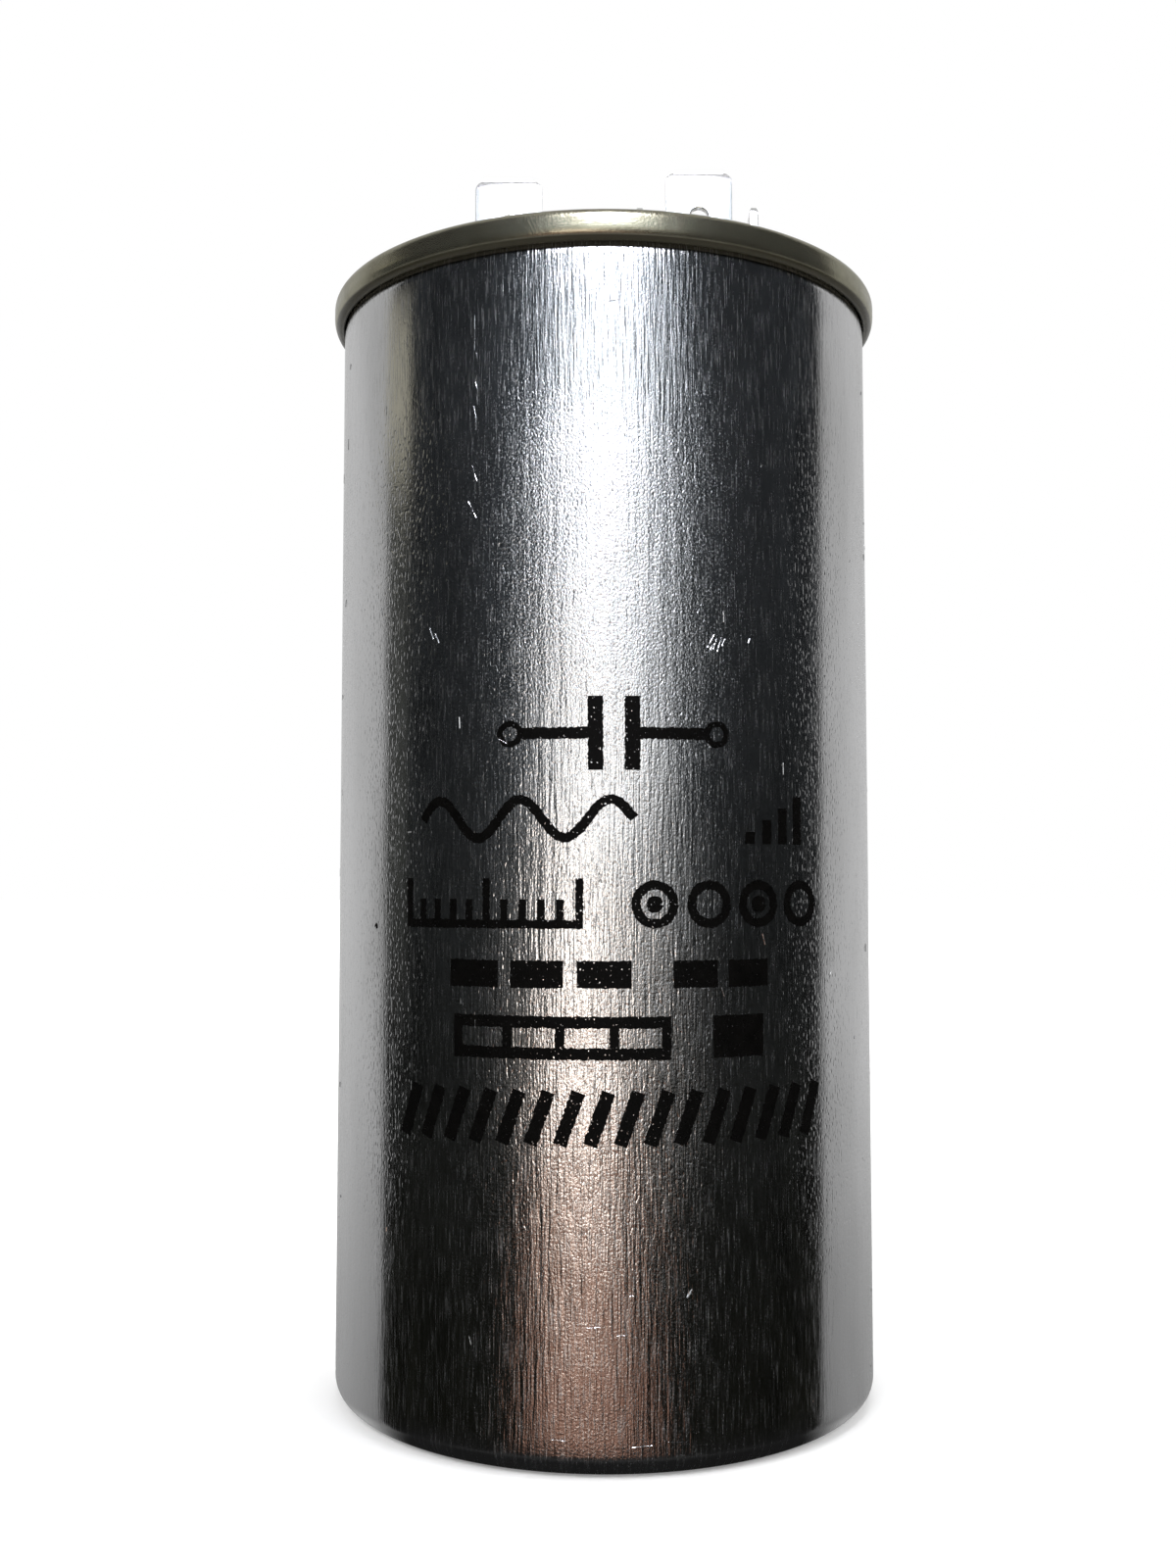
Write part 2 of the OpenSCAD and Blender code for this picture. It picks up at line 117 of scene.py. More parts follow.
class Wire:    # one socket of a node tree; sums and products on it add Math nodes
    def __init__(self, tree, socket=None):
        self.tree = tree
        self.socket = socket

    def node(self, kind, settings=None, sockets=None, output=None):    # a short kind is a shader node
        made = self.tree.nodes.new(kind if "Node" in kind else "ShaderNode" + kind)
        for name, value in (settings or {}).items():
            setattr(made, name, value)
        for name, value in (sockets or {}).items():
            target = pickSocket(made.inputs, name)
            if isinstance(value, Wire):
                self.tree.links.new(value.socket, target)
            else:
                target.default_value = value
        return Wire(self.tree, pickSocket(made.outputs, output))

    def out(self, name):    # another output of the same node
        return Wire(self.tree, pickSocket(self.socket.node.outputs, name))

    def math(self, operation, first, second=0.0):
        return self.node("Math", {"operation": operation}, {0: first, 1: second})

    def vector(self, x, y, z):
        return self.node("CombineXYZ", {}, {"X": x, "Y": y, "Z": z})

    def split(self):    # X, Y and Z of a vector
        x = self.node("SeparateXYZ", {}, {"Vector": self})
        return x, x.out("Y"), x.out("Z")

    def __add__(self, other):
        return self.math("ADD", self, other)

    def __radd__(self, other):
        return self.math("ADD", other, self)

    def __sub__(self, other):
        return self.math("SUBTRACT", self, other)

    def __rsub__(self, other):
        return self.math("SUBTRACT", other, self)

    def __mul__(self, other):
        return self.math("MULTIPLY", self, other)

    def __rmul__(self, other):
        return self.math("MULTIPLY", other, self)

    def __truediv__(self, other):
        return self.math("DIVIDE", self, other)

    def ease(self, low, high):    # 0 at low, 1 at high, smooth between
        return self.node("MapRange", {"interpolation_type": "SMOOTHSTEP"},
                         {"Value": self, "From Min": low, "From Max": high})

    def span(self, low, high):    # low where this is 0, high where it is 1
        return low + (high - low) * self


def pickSocket(sockets, name):
    if len(sockets) == 0:
        return None
    if name is None:
        return next(socket for socket in sockets if socket.enabled)
    if isinstance(name, int):
        return sockets[name]
    return next(socket for socket in sockets if socket.name == name and socket.enabled)


def newFinish(name):
    finish = bpy.data.materials.new(name)
    finish.use_nodes = True
    finish.node_tree.nodes.clear()
    return finish, Wire(finish.node_tree)


def closeFinish(wire, sockets):
    shader = wire.node("BsdfPrincipled", {}, sockets)
    wire.node("OutputMaterial", {}, {"Surface": shader})


def closeGlow(wire, shown, colour, strength):    # plain light, clear where shown is 0
    glow = wire.node("Emission", {}, {"Color": colour, "Strength": strength})
    clear = wire.node("BsdfTransparent")
    both = wire.node("MixShader", {}, {0: shown, 1: clear, 2: glow})
    wire.node("OutputMaterial", {}, {"Surface": both})


def mixColour(wire, factor, first, second):    # each a colour of three parts, or a wire
    ends = [end if isinstance(end, Wire) else (*end, 1.0) for end in (first, second)]
    return wire.node("Mix", {"data_type": "RGBA"}, {"Factor": factor, "A": ends[0], "B": ends[1]})


def stretchNoise(wire, place, cell, detail=2.0, wander=0.0):    # noise with cells of this size in metres
    if isinstance(cell, float):
        cell = (cell,) * 3
    scaled = wire.node("VectorMath", {"operation": "DIVIDE"}, {0: place, 1: cell})
    return wire.node("TexNoise", {}, {
        "Vector": scaled, "Scale": 1.0, "Detail": detail, "Distortion": wander})


def objectPlace(wire):
    return wire.node("TexCoord", {}, {}, "Object")


def fromMiddle(wire):
    return wire.node("VectorMath", {"operation": "LENGTH"}, {0: objectPlace(wire)}, "Value")


def fromAxis(wire):
    x, y = objectPlace(wire).split()[:2]
    return wire.math("SQRT", x * x + y * y)


def roundTurn(wire):    # angle round the Z axis, from the front
    x, y = objectPlace(wire).split()[:2]
    return wire.math("ARCTAN2", x, y * -1.0)


def wallPlace(wire):    # arc length round the can, height, and distance from the axis
    return wire.vector(roundTurn(wire) * canRadius, objectPlace(wire).split()[2], fromAxis(wire))


def bumpNormal(wire, height, distance=1.0):
    return wire.node("Bump", {}, {"Height": height, "Distance": distance, "Strength": 1.0})


# Sizes of the two rolled pieces

canRadius = mounts["can_body"]["dims"]["r_mm"] * mm
coverLow, coverHigh = (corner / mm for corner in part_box("cover"))
canForm = {
    "radius": canRadius / mm,
    "wall": 0.4,
    "floor": 0.6,
    "corner": 1.9,
    "neckHigh": 0.9,
    "squeeze": 0.08,
    "rows": 60,
    "segments": 360,
    "wave": 0.012,    # how far the drawn wall waves in and out
    "waveCell": (14.0, 14.0, 80.0),
}
coverForm = {
    "crest": coverHigh.z,
    "seamHigh": 2.7,
    "foldWide": 0.75,    # the rolled edge rounds in over this width and height
    "foldTall": 1.1,
    "gap": 0.04,
    "sheet": 0.26,
    "hookPlay": 0.25,
    "panelDeep": 4.4,
    "grooveBottom": coverLow.z,
    "grooveBend": 0.8,
    "panelBend": 0.2,
    "beadInset": 5.4,
    "beadBend": 0.9,
    "holeRadius": 4.15,
    "holeCut": 3.0,    # length of the cutter for the terminal holes
    "segments": 288,
}


def seamSizes(can, cover):    # radii of the rolled layers, from the inside out, and the two bends
    sheet = cover["sheet"]
    sizes = {"lip": cover["crest"] - cover["seamHigh"]}
    at = can["radius"] - can["squeeze"] - can["wall"] - cover["gap"] - sheet
    for layer, thick in (("chuck", sheet), ("neck", can["wall"]), ("coverHook", sheet),
                         ("canHook", can["wall"]), ("skirt", sheet)):
        sizes[layer + "In"] = at
        sizes[layer + "Out"] = at + thick
        at += thick + cover["gap"]
    for part, inner in (("crest", "chuckIn"), ("fold", "coverHookIn")):
        sizes[part + "Mid"] = (sizes["skirtOut"] + sizes[inner]) / 2
        sizes[part + "Bend"] = (sizes["skirtOut"] - sizes[inner]) / 2
    sizes["crestMidHigh"] = cover["crest"] - sizes["crestBend"]
    sizes["foldMidHigh"] = sizes["lip"] + sizes["foldBend"]
    return sizes


seam = seamSizes(canForm, coverForm)
seamLip = seam["lip"] * mm    # lower edge of the seam


# Finishes

canFinish = {
    "colour": (0.75, 0.75, 0.755),
    "dull": (0.63, 0.63, 0.63),
    "dullLimits": (0.35, 0.7),    # from bright to dull, on the blotches
    "blotchCell": (9 * mm, 9 * mm, 26 * mm),
    "roughness": 0.10,
    "grainCell": (0.18 * mm, 0.21 * mm, 1.0),    # round grain of the drawn sheet
    "grainDepth": 0.058 * mm,
    "grainDull": 0.30,    # roughness added in the grain's dull spots
    "grainLimits": (0.50, 0.68),
    "grainZone": (52 * mm, 66 * mm, 80 * mm, 90 * mm),    # grain between these heights, dashes elsewhere
    "grainElsewhere": 0.4,    # share of the grain's depth outside its zone
    "dullElsewhere": 0.45,    # and of its dullness
    "zoneStray": 18 * mm,    # how far the zones' edges wander
    "dashCell": (0.22 * mm, 3.6 * mm, 1.0),    # upright dashes
    "dashDepth": 0.052 * mm,
    "dashInGrain": 0.35,    # share of their depth in the grain's zone
    "dashWander": 0.25,    # how far they stray from upright, in cells
    "fineDetail": 2.5,
    "scuffCell": (0.10 * mm, 2.8 * mm, 1.0),    # fine dull scuffs, strongest above the grain
    "scuffDull": 0.23,
    "scuffLimits": (0.44, 0.70),
    "scuffBelow": 0.8,    # share of that strength elsewhere
    "streakCell": (0.6 * mm, 11 * mm, 1.0),    # broader drawing streaks
    "streakDepth": 0.045 * mm,
    "pitCell": (0.20 * mm, 0.45 * mm, 1.0),    # sparse upright pits that glint
    "pitDepth": 0.012 * mm,
    "pitLimits": (0.55, 0.82),
    "pitZone": (4 * mm, 30 * mm, 82 * mm, 94 * mm),    # they thin out below and above these heights
    "pitAbove": 0.2,    # share of them that is left above
    "swellCell": (6 * mm, 10 * mm, 1.0),    # slow swells of the thin wall
    "swellDepth": 0.15 * mm,
    "quarterDip": 0.90,    # relief and dull spots weaken between the draw's four sides
    "seamShade": (0.030, 0.027, 0.020),    # painted shade with a little dirt along the underside of the seam: a dark dull film
    "seamShadeDrop": (0.55 * mm, 0.05 * mm),    # it begins and is full this far below the lip
    "seamShadeTurn": 0.6,    # the colour changes before this share, the metal after it
}


def makeCanMetal(look):
    finish, wire = newFinish("drawnAluminium")
    place = objectPlace(wire)
    wall = wallPlace(wire)
    level = place.split()[2]
    blotch = stretchNoise(wire, place, look["blotchCell"])
    high = level + (blotch - 0.5) * look["zoneStray"]
    zone = look["grainZone"]
    pitZone = look["pitZone"]
    fine = (look["fineDetail"], look["dashWander"])
    grain = stretchNoise(wire, wall, look["grainCell"])
    dash = stretchNoise(wire, wall, look["dashCell"], *fine)
    scuff = stretchNoise(wire, wall, look["scuffCell"], *fine).ease(*look["scuffLimits"])
    streak = stretchNoise(wire, wall, look["streakCell"])
    swell = stretchNoise(wire, wall, look["swellCell"], detail=0.0)
    pit = stretchNoise(wire, wall, look["pitCell"], detail=0.0).ease(*look["pitLimits"])
    pit = pit * high.ease(*pitZone[:2]) * high.ease(*pitZone[2:]).span(1.0, look["pitAbove"])
    above = high.ease(*zone[2:])
    share = high.ease(*zone[:2]) * (1 - above)
    quarters = 0.5 + 0.5 * wire.math("COSINE", roundTurn(wire) * 4)
    quarters = quarters.span(1 - look["quarterDip"], 1.0)
    height = grain * share.span(look["grainElsewhere"], 1.0) * look["grainDepth"]
    height = height + dash * share.span(1.0, look["dashInGrain"]) * look["dashDepth"]
    height = height + streak * look["streakDepth"] + swell * look["swellDepth"]
    height = height * quarters - pit * look["pitDepth"]
    dull = grain.ease(*look["grainLimits"]) * share.span(look["dullElsewhere"], 1.0)
    dull = dull * look["grainDull"] * quarters
    scuff = scuff * above.span(look["scuffBelow"], 1.0) * look["scuffDull"]
    # painted shade with a little dirt just below the seam's lip: the wall turns dark, dull and less
    # metallic there
    seamShadeLow, seamShadeFull = (seamLip - drop for drop in look["seamShadeDrop"])
    seamShade = level.ease(seamShadeLow, seamShadeFull)
    colour = mixColour(wire, blotch.ease(*look["dullLimits"]), look["colour"], look["dull"])
    colour = mixColour(wire, seamShade.ease(0.0, look["seamShadeTurn"]), colour, look["seamShade"])
    closeFinish(wire, {"Base Color": colour, "Metallic": 1 - seamShade.ease(look["seamShadeTurn"], 1.0),
                       "Roughness": look["roughness"] + dull + scuff,
                       "Normal": bumpNormal(wire, height)})
    return finish


coverFinish = {
    "colour": (0.37, 0.355, 0.265),
    "dark": (0.28, 0.265, 0.19),
    "darkLimits": (0.40, 0.75),    # from plain to dark, on the clouds
    "metallic": 0.955,    # the rest is a thin dull film
    "brown": (0.035, 0.031, 0.018),    # painted shade with some brown dirt along the lower fold, dull
    "foldShadeHigh": (0.30 * mm, 0.55 * mm),    # it fades between these heights above the lip
    "foldShadeEdge": 0.2 * mm,    # and over this depth inside the can's radius
    "foldShadeDull": 0.5,    # share of the metal that it hides
    "crestDark": (0.21, 0.21, 0.175),    # darker colour along the top of the seam
    "crestDarkDrop": (0.30 * mm, 0.06 * mm),    # it begins and is full this far below the crest
    "roughness": 0.17,
    "grainCell": 0.22 * mm,
    "grainDepth": 0.013 * mm,
    "cloudCell": 2.4 * mm,
    "cloudDepth": 0.03 * mm,
    "cloudDull": 0.10,
    "rolledCell": (2.5 * mm, 0.10 * mm, 0.3 * mm),    # marks of the seaming roll
    "rolledDepth": 0.006 * mm,
    "rolledDull": 0.05,
}


def makeCoverMetal(look):
    finish, wire = newFinish("tinplate")
    place = objectPlace(wire)
    level = place.split()[2]
    rolled = stretchNoise(wire, wallPlace(wire), look["rolledCell"], detail=3.0)
    cloud = stretchNoise(wire, place, look["cloudCell"], detail=4.0)
    grain = stretchNoise(wire, place, look["grainCell"])
    # painted shade with some dirt in the crevice under the lower fold: dark, dull, less metallic colour
    foldShadeFull, foldShadeEnd = (seamLip + high for high in look["foldShadeHigh"])
    foldShade = 1 - level.ease(foldShadeFull, foldShadeEnd)
    foldShade = foldShade * fromAxis(wire).ease(canRadius - look["foldShadeEdge"], canRadius)
    # darker colour along the top of the seam
    crestDarkLow, crestDarkFull = (coverForm["crest"] * mm - drop for drop in look["crestDarkDrop"])
    colour = mixColour(wire, cloud.ease(*look["darkLimits"]), look["colour"], look["dark"])
    colour = mixColour(wire, foldShade, colour, look["brown"])
    colour = mixColour(wire, level.ease(crestDarkLow, crestDarkFull), colour, look["crestDark"])
    height = rolled * look["rolledDepth"] + cloud * look["cloudDepth"] + grain * look["grainDepth"]
    roughness = look["roughness"] + look["cloudDull"] * cloud + look["rolledDull"] * rolled
    closeFinish(wire, {"Base Color": colour, "Roughness": roughness, "Normal": bumpNormal(wire, height),
                       "Metallic": look["metallic"] * (1 - look["foldShadeDull"] * foldShade)})
    return finish


tinned = {
    "metallic": 1.0,
    "grainCell": (0.25 * mm, 0.25 * mm, 1.6 * mm),
    "grainDetail": 3.0,
    "grainDepth": 0.004 * mm,
    "cloudCell": 1.8 * mm,
    "cloudLimits": (0.4, 0.75),
    "cloudShade": 0.9,    # the colour in the clouds, as a share of the plain colour
    "cloudLift": 0.0,    # added to that colour
    "cloudDull": 0.12,
}
moulded = {
    "metallic": 0.0,
    "grainCell": 0.12 * mm,
    "grainDetail": 2.0,
    "grainDepth": 0.004 * mm,
    "cloudCell": 4 * mm,
    "cloudLimits": (0.4, 0.8),
    "cloudShade": 1.25,
    "cloudLift": 0.004,
    "cloudDull": 0.12,
}


def makePlain(name, kind, colour, roughness, **changes):
    look = {**kind, **changes}
    finish, wire = newFinish(name)
    place = objectPlace(wire)
    grain = stretchNoise(wire, place, look["grainCell"], look["grainDetail"])
    cloud = stretchNoise(wire, place, look["cloudCell"], detail=3.0)
    other = [min(1.0, part * look["cloudShade"] + look["cloudLift"]) for part in colour]
    shade = mixColour(wire, cloud.ease(*look["cloudLimits"]), colour, other)
    closeFinish(wire, {"Base Color": shade, "Metallic": look["metallic"],
                       "Roughness": roughness + look["cloudDull"] * cloud,
                       "Normal": bumpNormal(wire, grain, look["grainDepth"])})
    return finish


finishOfSlot = {
    "can_metal": makeCanMetal(canFinish),
    "cover_metal": makeCoverMetal(coverFinish),
    "tab_metal": makePlain("tinnedStrip", tinned, (0.90, 0.90, 0.885), 0.16),
    "rivet_metal": makePlain("tinnedRivet", tinned, (0.74, 0.74, 0.72), 0.24),
    "lead_metal": makePlain("tinnedWire", tinned, (0.78, 0.76, 0.72), 0.26),
    "film_metallised": makePlain("metallisedFilm", tinned, (0.68, 0.71, 0.74), 0.12),
    "spray_metal": makePlain("sprayedZinc", moulded, (0.45, 0.47, 0.49), 0.6,
                             grainCell=0.3 * mm, grainDepth=0.06 * mm),
    "insulator_plastic": makePlain("blackMoulding", moulded, (0.02, 0.02, 0.022), 0.38),
    "seal_rubber": makePlain("sealRubber", moulded, (0.05, 0.05, 0.05), 0.65),
    "board_brown": makePlain("brownBoard", moulded, (0.30, 0.17, 0.09), 0.5,
                             grainCell=0.4 * mm, grainDepth=0.01 * mm),
    "white_plastic": makePlain("whiteMoulding", moulded, (0.85, 0.85, 0.82), 0.4),
    "wrap_film": makePlain("wrapFilm", moulded, (0.82, 0.85, 0.88), 0.15),
}
for subpart in frame["record"]["subparts"]:
    solid = frame["nodes"][subpart["node"]]
    solid.data.materials.clear()
    solid.data.materials.append(finishOfSlot[subpart["material_slot"]])
print("finishes made:", len(finishOfSlot))


# Half sections, as lists of (radius, height) in millimetres

def bend(middle, radius, fromTurn, toTurn, steps=10):    # arc about a point, turns in degrees
    points = []
    for step in range(steps + 1):
        turn = math.radians(fromTurn + (toTurn - fromTurn) * step / steps)
        points.append((middle[0] + radius * math.cos(turn), middle[1] + radius * math.sin(turn)))
    return points


def run(start, end, steps):    # straight stretch without its two ends
    return [tuple(a + (b - a) * step / steps for a, b in zip(start, end)) for step in range(1, steps)]


def canSection(form, seam, hookPlay, neckSteps=8):
    radius = form["radius"]
    inner = radius - form["wall"]
    corner = form["corner"]
    innerCorner = corner - form["wall"]
    neckLow = seam["lip"] - form["neckHigh"]
    crest = (seam["crestMid"], seam["crestMidHigh"])
    outerBend = (seam["canHookOut"] - seam["neckIn"]) / 2
    hookEnd = seam["foldMidHigh"] + hookPlay
    outside = [(0, 0)] + run((0, 0), (radius - corner, 0), 6)
    outside += bend((radius - corner, corner), corner, -90, 0, 14)
    outside += run((radius, corner), (radius, neckLow), form["rows"])
    for step in range(neckSteps + 1):    # the neck eases in below the seam
        share = step / neckSteps
        ease = share * share * (3 - 2 * share)
        outside.append((radius - form["squeeze"] * ease, neckLow + form["neckHigh"] * share))
    outside += bend(crest, outerBend, 180, 0, 12)
    outside += [(seam["canHookOut"], hookEnd), (seam["canHookIn"], hookEnd)]
    inside = bend(crest, outerBend - form["wall"], 0, 180, 12)
    inside += [(seam["neckIn"], seam["lip"]), (inner, neckLow)]
    inside += run((inner, neckLow), (inner, form["floor"] + innerCorner), 12)
    inside += bend((inner - innerCorner, form["floor"] + innerCorner), innerCorner, 0, -90, 8)
    return outside + inside + [(0, form["floor"])]


def coverSection(form, seam, foldSteps=20):
    sheet = form["sheet"]
    panel = form["crest"] - form["panelDeep"]
    under = panel - sheet
    groove = (seam["chuckOut"] - form["grooveBend"], form["grooveBottom"] + form["grooveBend"])
    grooveIn = seam["chuckOut"] - 2 * form["grooveBend"]
    panelCorner = (grooveIn - form["panelBend"], under - form["panelBend"])
    bead = (canForm["radius"] - form["beadInset"], under)
    beadDip = math.degrees(math.asin(sheet / form["beadBend"]))
    crest = (seam["crestMid"], seam["crestMidHigh"])
    fold = (seam["foldMid"], seam["foldMidHigh"])
    hookTop = seam["crestMidHigh"] - form["hookPlay"]
    above = [(0, panel)] + run((0, panel), (bead[0] - form["beadBend"], panel), 8)
    above += bend(bead, form["beadBend"], 180 - beadDip, beadDip, 14)
    above += bend(panelCorner, form["panelBend"] + sheet, 90, 0, 8)
    above += bend(groove, form["grooveBend"] - sheet, 180, 360, 14)
    above += run((seam["chuckIn"], groove[1]), (seam["chuckIn"], crest[1]), 6)
    above += bend(crest, seam["crestBend"], 180, 0, 20)
    tuck = seam["skirtOut"] - form["foldWide"]
    for step in range(foldSteps + 1):
        turn = math.pi / 2 * step / foldSteps
        above.append((tuck + form["foldWide"] * math.cos(turn),
                      seam["lip"] + form["foldTall"] * (1 - math.sin(turn))))
    inward = tuck - seam["coverHookIn"]
    above += bend((tuck, seam["lip"] + inward), inward, -90, -180, 6)
    above += [(seam["coverHookIn"], hookTop)]
    below = [(seam["coverHookOut"], hookTop)]
    below += bend(fold, seam["foldBend"] - sheet, -180, 0, 8)
    below += bend(crest, seam["crestBend"] - sheet, 0, 180, 12)
    below += bend(groove, form["grooveBend"], 360, 180, 12)
    below += bend(panelCorner, form["panelBend"], 0, 90, 5)
    below += bend(bead, form["beadBend"] - sheet, 0, 180, 10)
    return above + below + [(0, under)]


# Geometry trees: a lathe, and flat sheets wrapped onto the wall

def newTree(name, inputs):
    tree = bpy.data.node_groups.new(name, "GeometryNodeTree")
    for label, kind in inputs:
        tree.interface.new_socket(name=label, in_out="INPUT", socket_type="NodeSocket" + kind)
    tree.interface.new_socket(name="Geometry", in_out="OUTPUT", socket_type="NodeSocketGeometry")
    wire = Wire(tree)
    return tree, wire, wire.node("NodeGroupInput")


def closeTree(wire, geometry, finish):
    whole = wire.node("GeometryNodeRealizeInstances", {}, {"Geometry": geometry})
    dressed = wire.node("GeometryNodeSetMaterial", {}, {"Geometry": whole, "Material": finish})
    wire.node("NodeGroupOutput", {}, {"Geometry": dressed})


def shapeOf(wire, given, name):    # the mesh of an object that the tree is given
    return wire.node("GeometryNodeObjectInfo", {}, {"Object": given.out(name)}, "Geometry")


def wavedRound(wire, given, turn, high, radius, reach):    # a point at this turn, moved by the wall's wave
    across = wire.math("SINE", turn)
    ahead = wire.math("COSINE", turn) * -1.0
    nominal = wire.vector(radius * across, radius * ahead, high)
    noise = stretchNoise(wire, nominal, given.out("Wave Cell"), detail=1.0)
    waved = reach + (noise - 0.5) * 2.0 * given.out("Wave")
    return wire.vector(waved * across, waved * ahead, high)


waveInputs = [("Wave", "Float"), ("Wave Cell", "Vector"), ("Finish", "Material")]
wallInputs = [("Flat", "Object"), ("Radius", "Float")] + waveInputs


def makeLatheTree():
    tree, wire, given = newTree("lathe", [
        ("Section", "Object"), ("Segments", "Int"), ("Axis", "Vector")] + waveInputs)
    section = shapeOf(wire, given, "Section")
    count = wire.node("GeometryNodeAttributeDomainSize", {}, {"Geometry": section}, "Point Count")
    around = given.out("Segments") + 1
    grid = wire.node("GeometryNodeMeshGrid", {}, {"Vertices X": count, "Vertices Y": around}, "Mesh")
    index = wire.node("GeometryNodeInputIndex")
    row = wire.math("FLOOR", (index + 0.5) / around)
    turn = (index - row * around) * (2 * math.pi) / given.out("Segments")
    place = wire.node("GeometryNodeInputPosition")
    point = wire.node("GeometryNodeSampleIndex", {"data_type": "FLOAT_VECTOR", "clamp": True},
                      {"Geometry": section, "Value": place, "Index": row})
    radius, high = point.split()[::2]
    turned = wavedRound(wire, given, turn, high, radius, radius)
    moved = wire.node("VectorMath", {"operation": "ADD"}, {0: turned, 1: given.out("Axis")})
    shaped = wire.node("GeometryNodeSetPosition", {}, {"Geometry": grid, "Position": moved})
    closed = wire.node("GeometryNodeMergeByDistance", {}, {"Geometry": shaped, "Distance": weld})
    closeTree(wire, closed, given.out("Finish"))
    return tree


latheTree = makeLatheTree()


def closeWrapped(wire, given, flat):    # flat (arc, depth, height) wrapped onto the waved wall
    arc, depth, high = wire.node("GeometryNodeInputPosition").split()
    radius = given.out("Radius")
    place = wavedRound(wire, given, arc / radius, high, radius, radius - depth)
    wrapped = wire.node("GeometryNodeSetPosition", {}, {"Geometry": flat, "Position": place})
    closeTree(wire, wrapped, given.out("Finish"))


# Pieces: grown by a tree, cut, and put in the place of a solid

def growPiece(name, tree, values):    # an object whose shape comes from the tree
    piece = addObject(name, bpy.data.meshes.new(name))
    modifier = piece.modifiers.new(tree.name, "NODES")
    modifier.node_group = tree
    for item in tree.interface.items_tree:
        if item.in_out == "INPUT" and item.name in values:
            modifier[item.identifier] = values[item.name]
    return piece


def settlePiece(piece, sharpTurn, closed=True):    # modifiers become mesh; closed pieces face outwards
    graph = bpy.context.evaluated_depsgraph_get()
    mesh = bpy.data.meshes.new_from_object(piece.evaluated_get(graph), depsgraph=graph)
    piece.modifiers.clear()
    piece.data = mesh
    finish = next(material for material in mesh.materials if material)
    mesh.materials.clear()
    mesh.materials.append(finish)
    form = bmesh.new()
    form.from_mesh(mesh)
    bmesh.ops.remove_doubles(form, verts=form.verts, dist=weld)
    if closed:
        bmesh.ops.recalc_face_normals(form, faces=form.faces)
    for face in form.faces:
        face.material_index = 0
    form.to_mesh(mesh)
    form.free()
    mesh.shade_smooth()
    mesh.set_sharp_from_angle(angle=math.radians(sharpTurn))
    clearGuides()


def joinPart(piece, node, sharpTurn=40):
    settlePiece(piece, sharpTurn)
    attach(piece, "root")
    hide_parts(node)


def turnPiece(name, section, segments, finish, axis=(0, 0, 0), wave=0.0, waveCell=(1.0, 1.0, 1.0)):
    mesh = bpy.data.meshes.new(name + "Section")
    edges = [(index, index + 1) for index in range(len(section) - 1)]
    mesh.from_pydata([(radius * mm, 0, high * mm) for radius, high in section], edges, [])
    return growPiece(name, latheTree, {
        "Section": addGuide(name + "Section", mesh), "Segments": segments, "Axis": axis, "Wave": wave * mm,
        "Wave Cell": tuple(size * mm for size in waveCell), "Finish": finish})


def cutWith(piece, cutter):
    cut = piece.modifiers.new("cut", "BOOLEAN")
    cut.operation = "DIFFERENCE"
    cut.solver = "EXACT"
    cut.object = cutter


def outwardMesh(name, form):
    mesh = bpy.data.meshes.new(name)
    bmesh.ops.recalc_face_normals(form, faces=form.faces)
    form.to_mesh(mesh)
    form.free()
    return mesh


def skinLoops(form, loops):    # walls between closed loops of points, and a lid at each end
    count = len(loops[0])
    for lower, upper in zip(loops, loops[1:]):
        for step in range(count):
            after = (step + 1) % count
            form.faces.new((lower[step], lower[after], upper[after], upper[step]))
    form.faces.new(loops[0])
    form.faces.new(loops[-1])


def drill(name, middle, axis, radius, depth, chamfer=0.0, wall=0.0, steps=48):    # round cutter
    form = bmesh.new()
    half = depth / 2
    rings = [(-half, radius), (half, radius)]
    if chamfer:
        edge = wall / 2
        rings = [(-half, radius + chamfer), (-edge, radius + chamfer), (-edge + chamfer, radius),
                 (edge - chamfer, radius), (edge, radius + chamfer), (half, radius + chamfer)]
    axis = Vector(axis).normalized()
    side = axis.orthogonal().normalized()
    other = axis.cross(side)
    loops = []
    for along, size in rings:
        loop = []
        for step in range(steps):
            turn = 2 * math.pi * step / steps
            arm = side * math.cos(turn) + other * math.sin(turn)
            loop.append(form.verts.new(Vector(middle) * mm + (axis * along + arm * size) * mm))
        loops.append(loop)
    skinLoops(form, loops)
    return addGuide(name, outwardMesh(name, form))


# Can

canShell = turnPiece("can_shell", canSection(canForm, seam, coverForm["hookPlay"]), canForm["segments"],
                     finishOfSlot["can_metal"], wave=canForm["wave"], waveCell=canForm["waveCell"])
joinPart(canShell, "can")
print("can turned:", len(canShell.data.polygons), "faces")


# Cover with its two terminal holes

terminalMiddles = {}
for side in ("left", "right"):
    low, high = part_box("terminal_insulator_" + side)
    terminalMiddles[side] = ((low + high) / 2 / mm).x
panelHigh = coverForm["crest"] - coverForm["panelDeep"]

coverShell = turnPiece("seamed_cover", coverSection(coverForm, seam), coverForm["segments"],
                       finishOfSlot["cover_metal"])
for side, middle in terminalMiddles.items():
    cutWith(coverShell, drill("hole_" + side, (middle, 0, panelHigh), (0, 0, 1),
                              coverForm["holeRadius"], coverForm["holeCut"]))
joinPart(coverShell, "cover")
print("cover turned:", len(coverShell.data.polygons), "faces")


# Terminal bushings, each with a slot for its bracket

bushingForm = {
    "flangeHigh": 1.3,
    "flangeRound": 0.25,
    "step": 0.8,
    "topRound": 0.4,
    "slotWide": 6.5,
    "slotDeep": 0.6,
    "slotLong": 40.0,
    "creepDeep": 0.7,
    "creepWide": 0.9,
    "spigot": 4.0,
    "hole": 1.7,
    "sealIn": 4.25,
    "sealOut": 5.75,
    "sealDeep": 0.8,
    "segments": 128,
    "sharpTurn": 35,
}


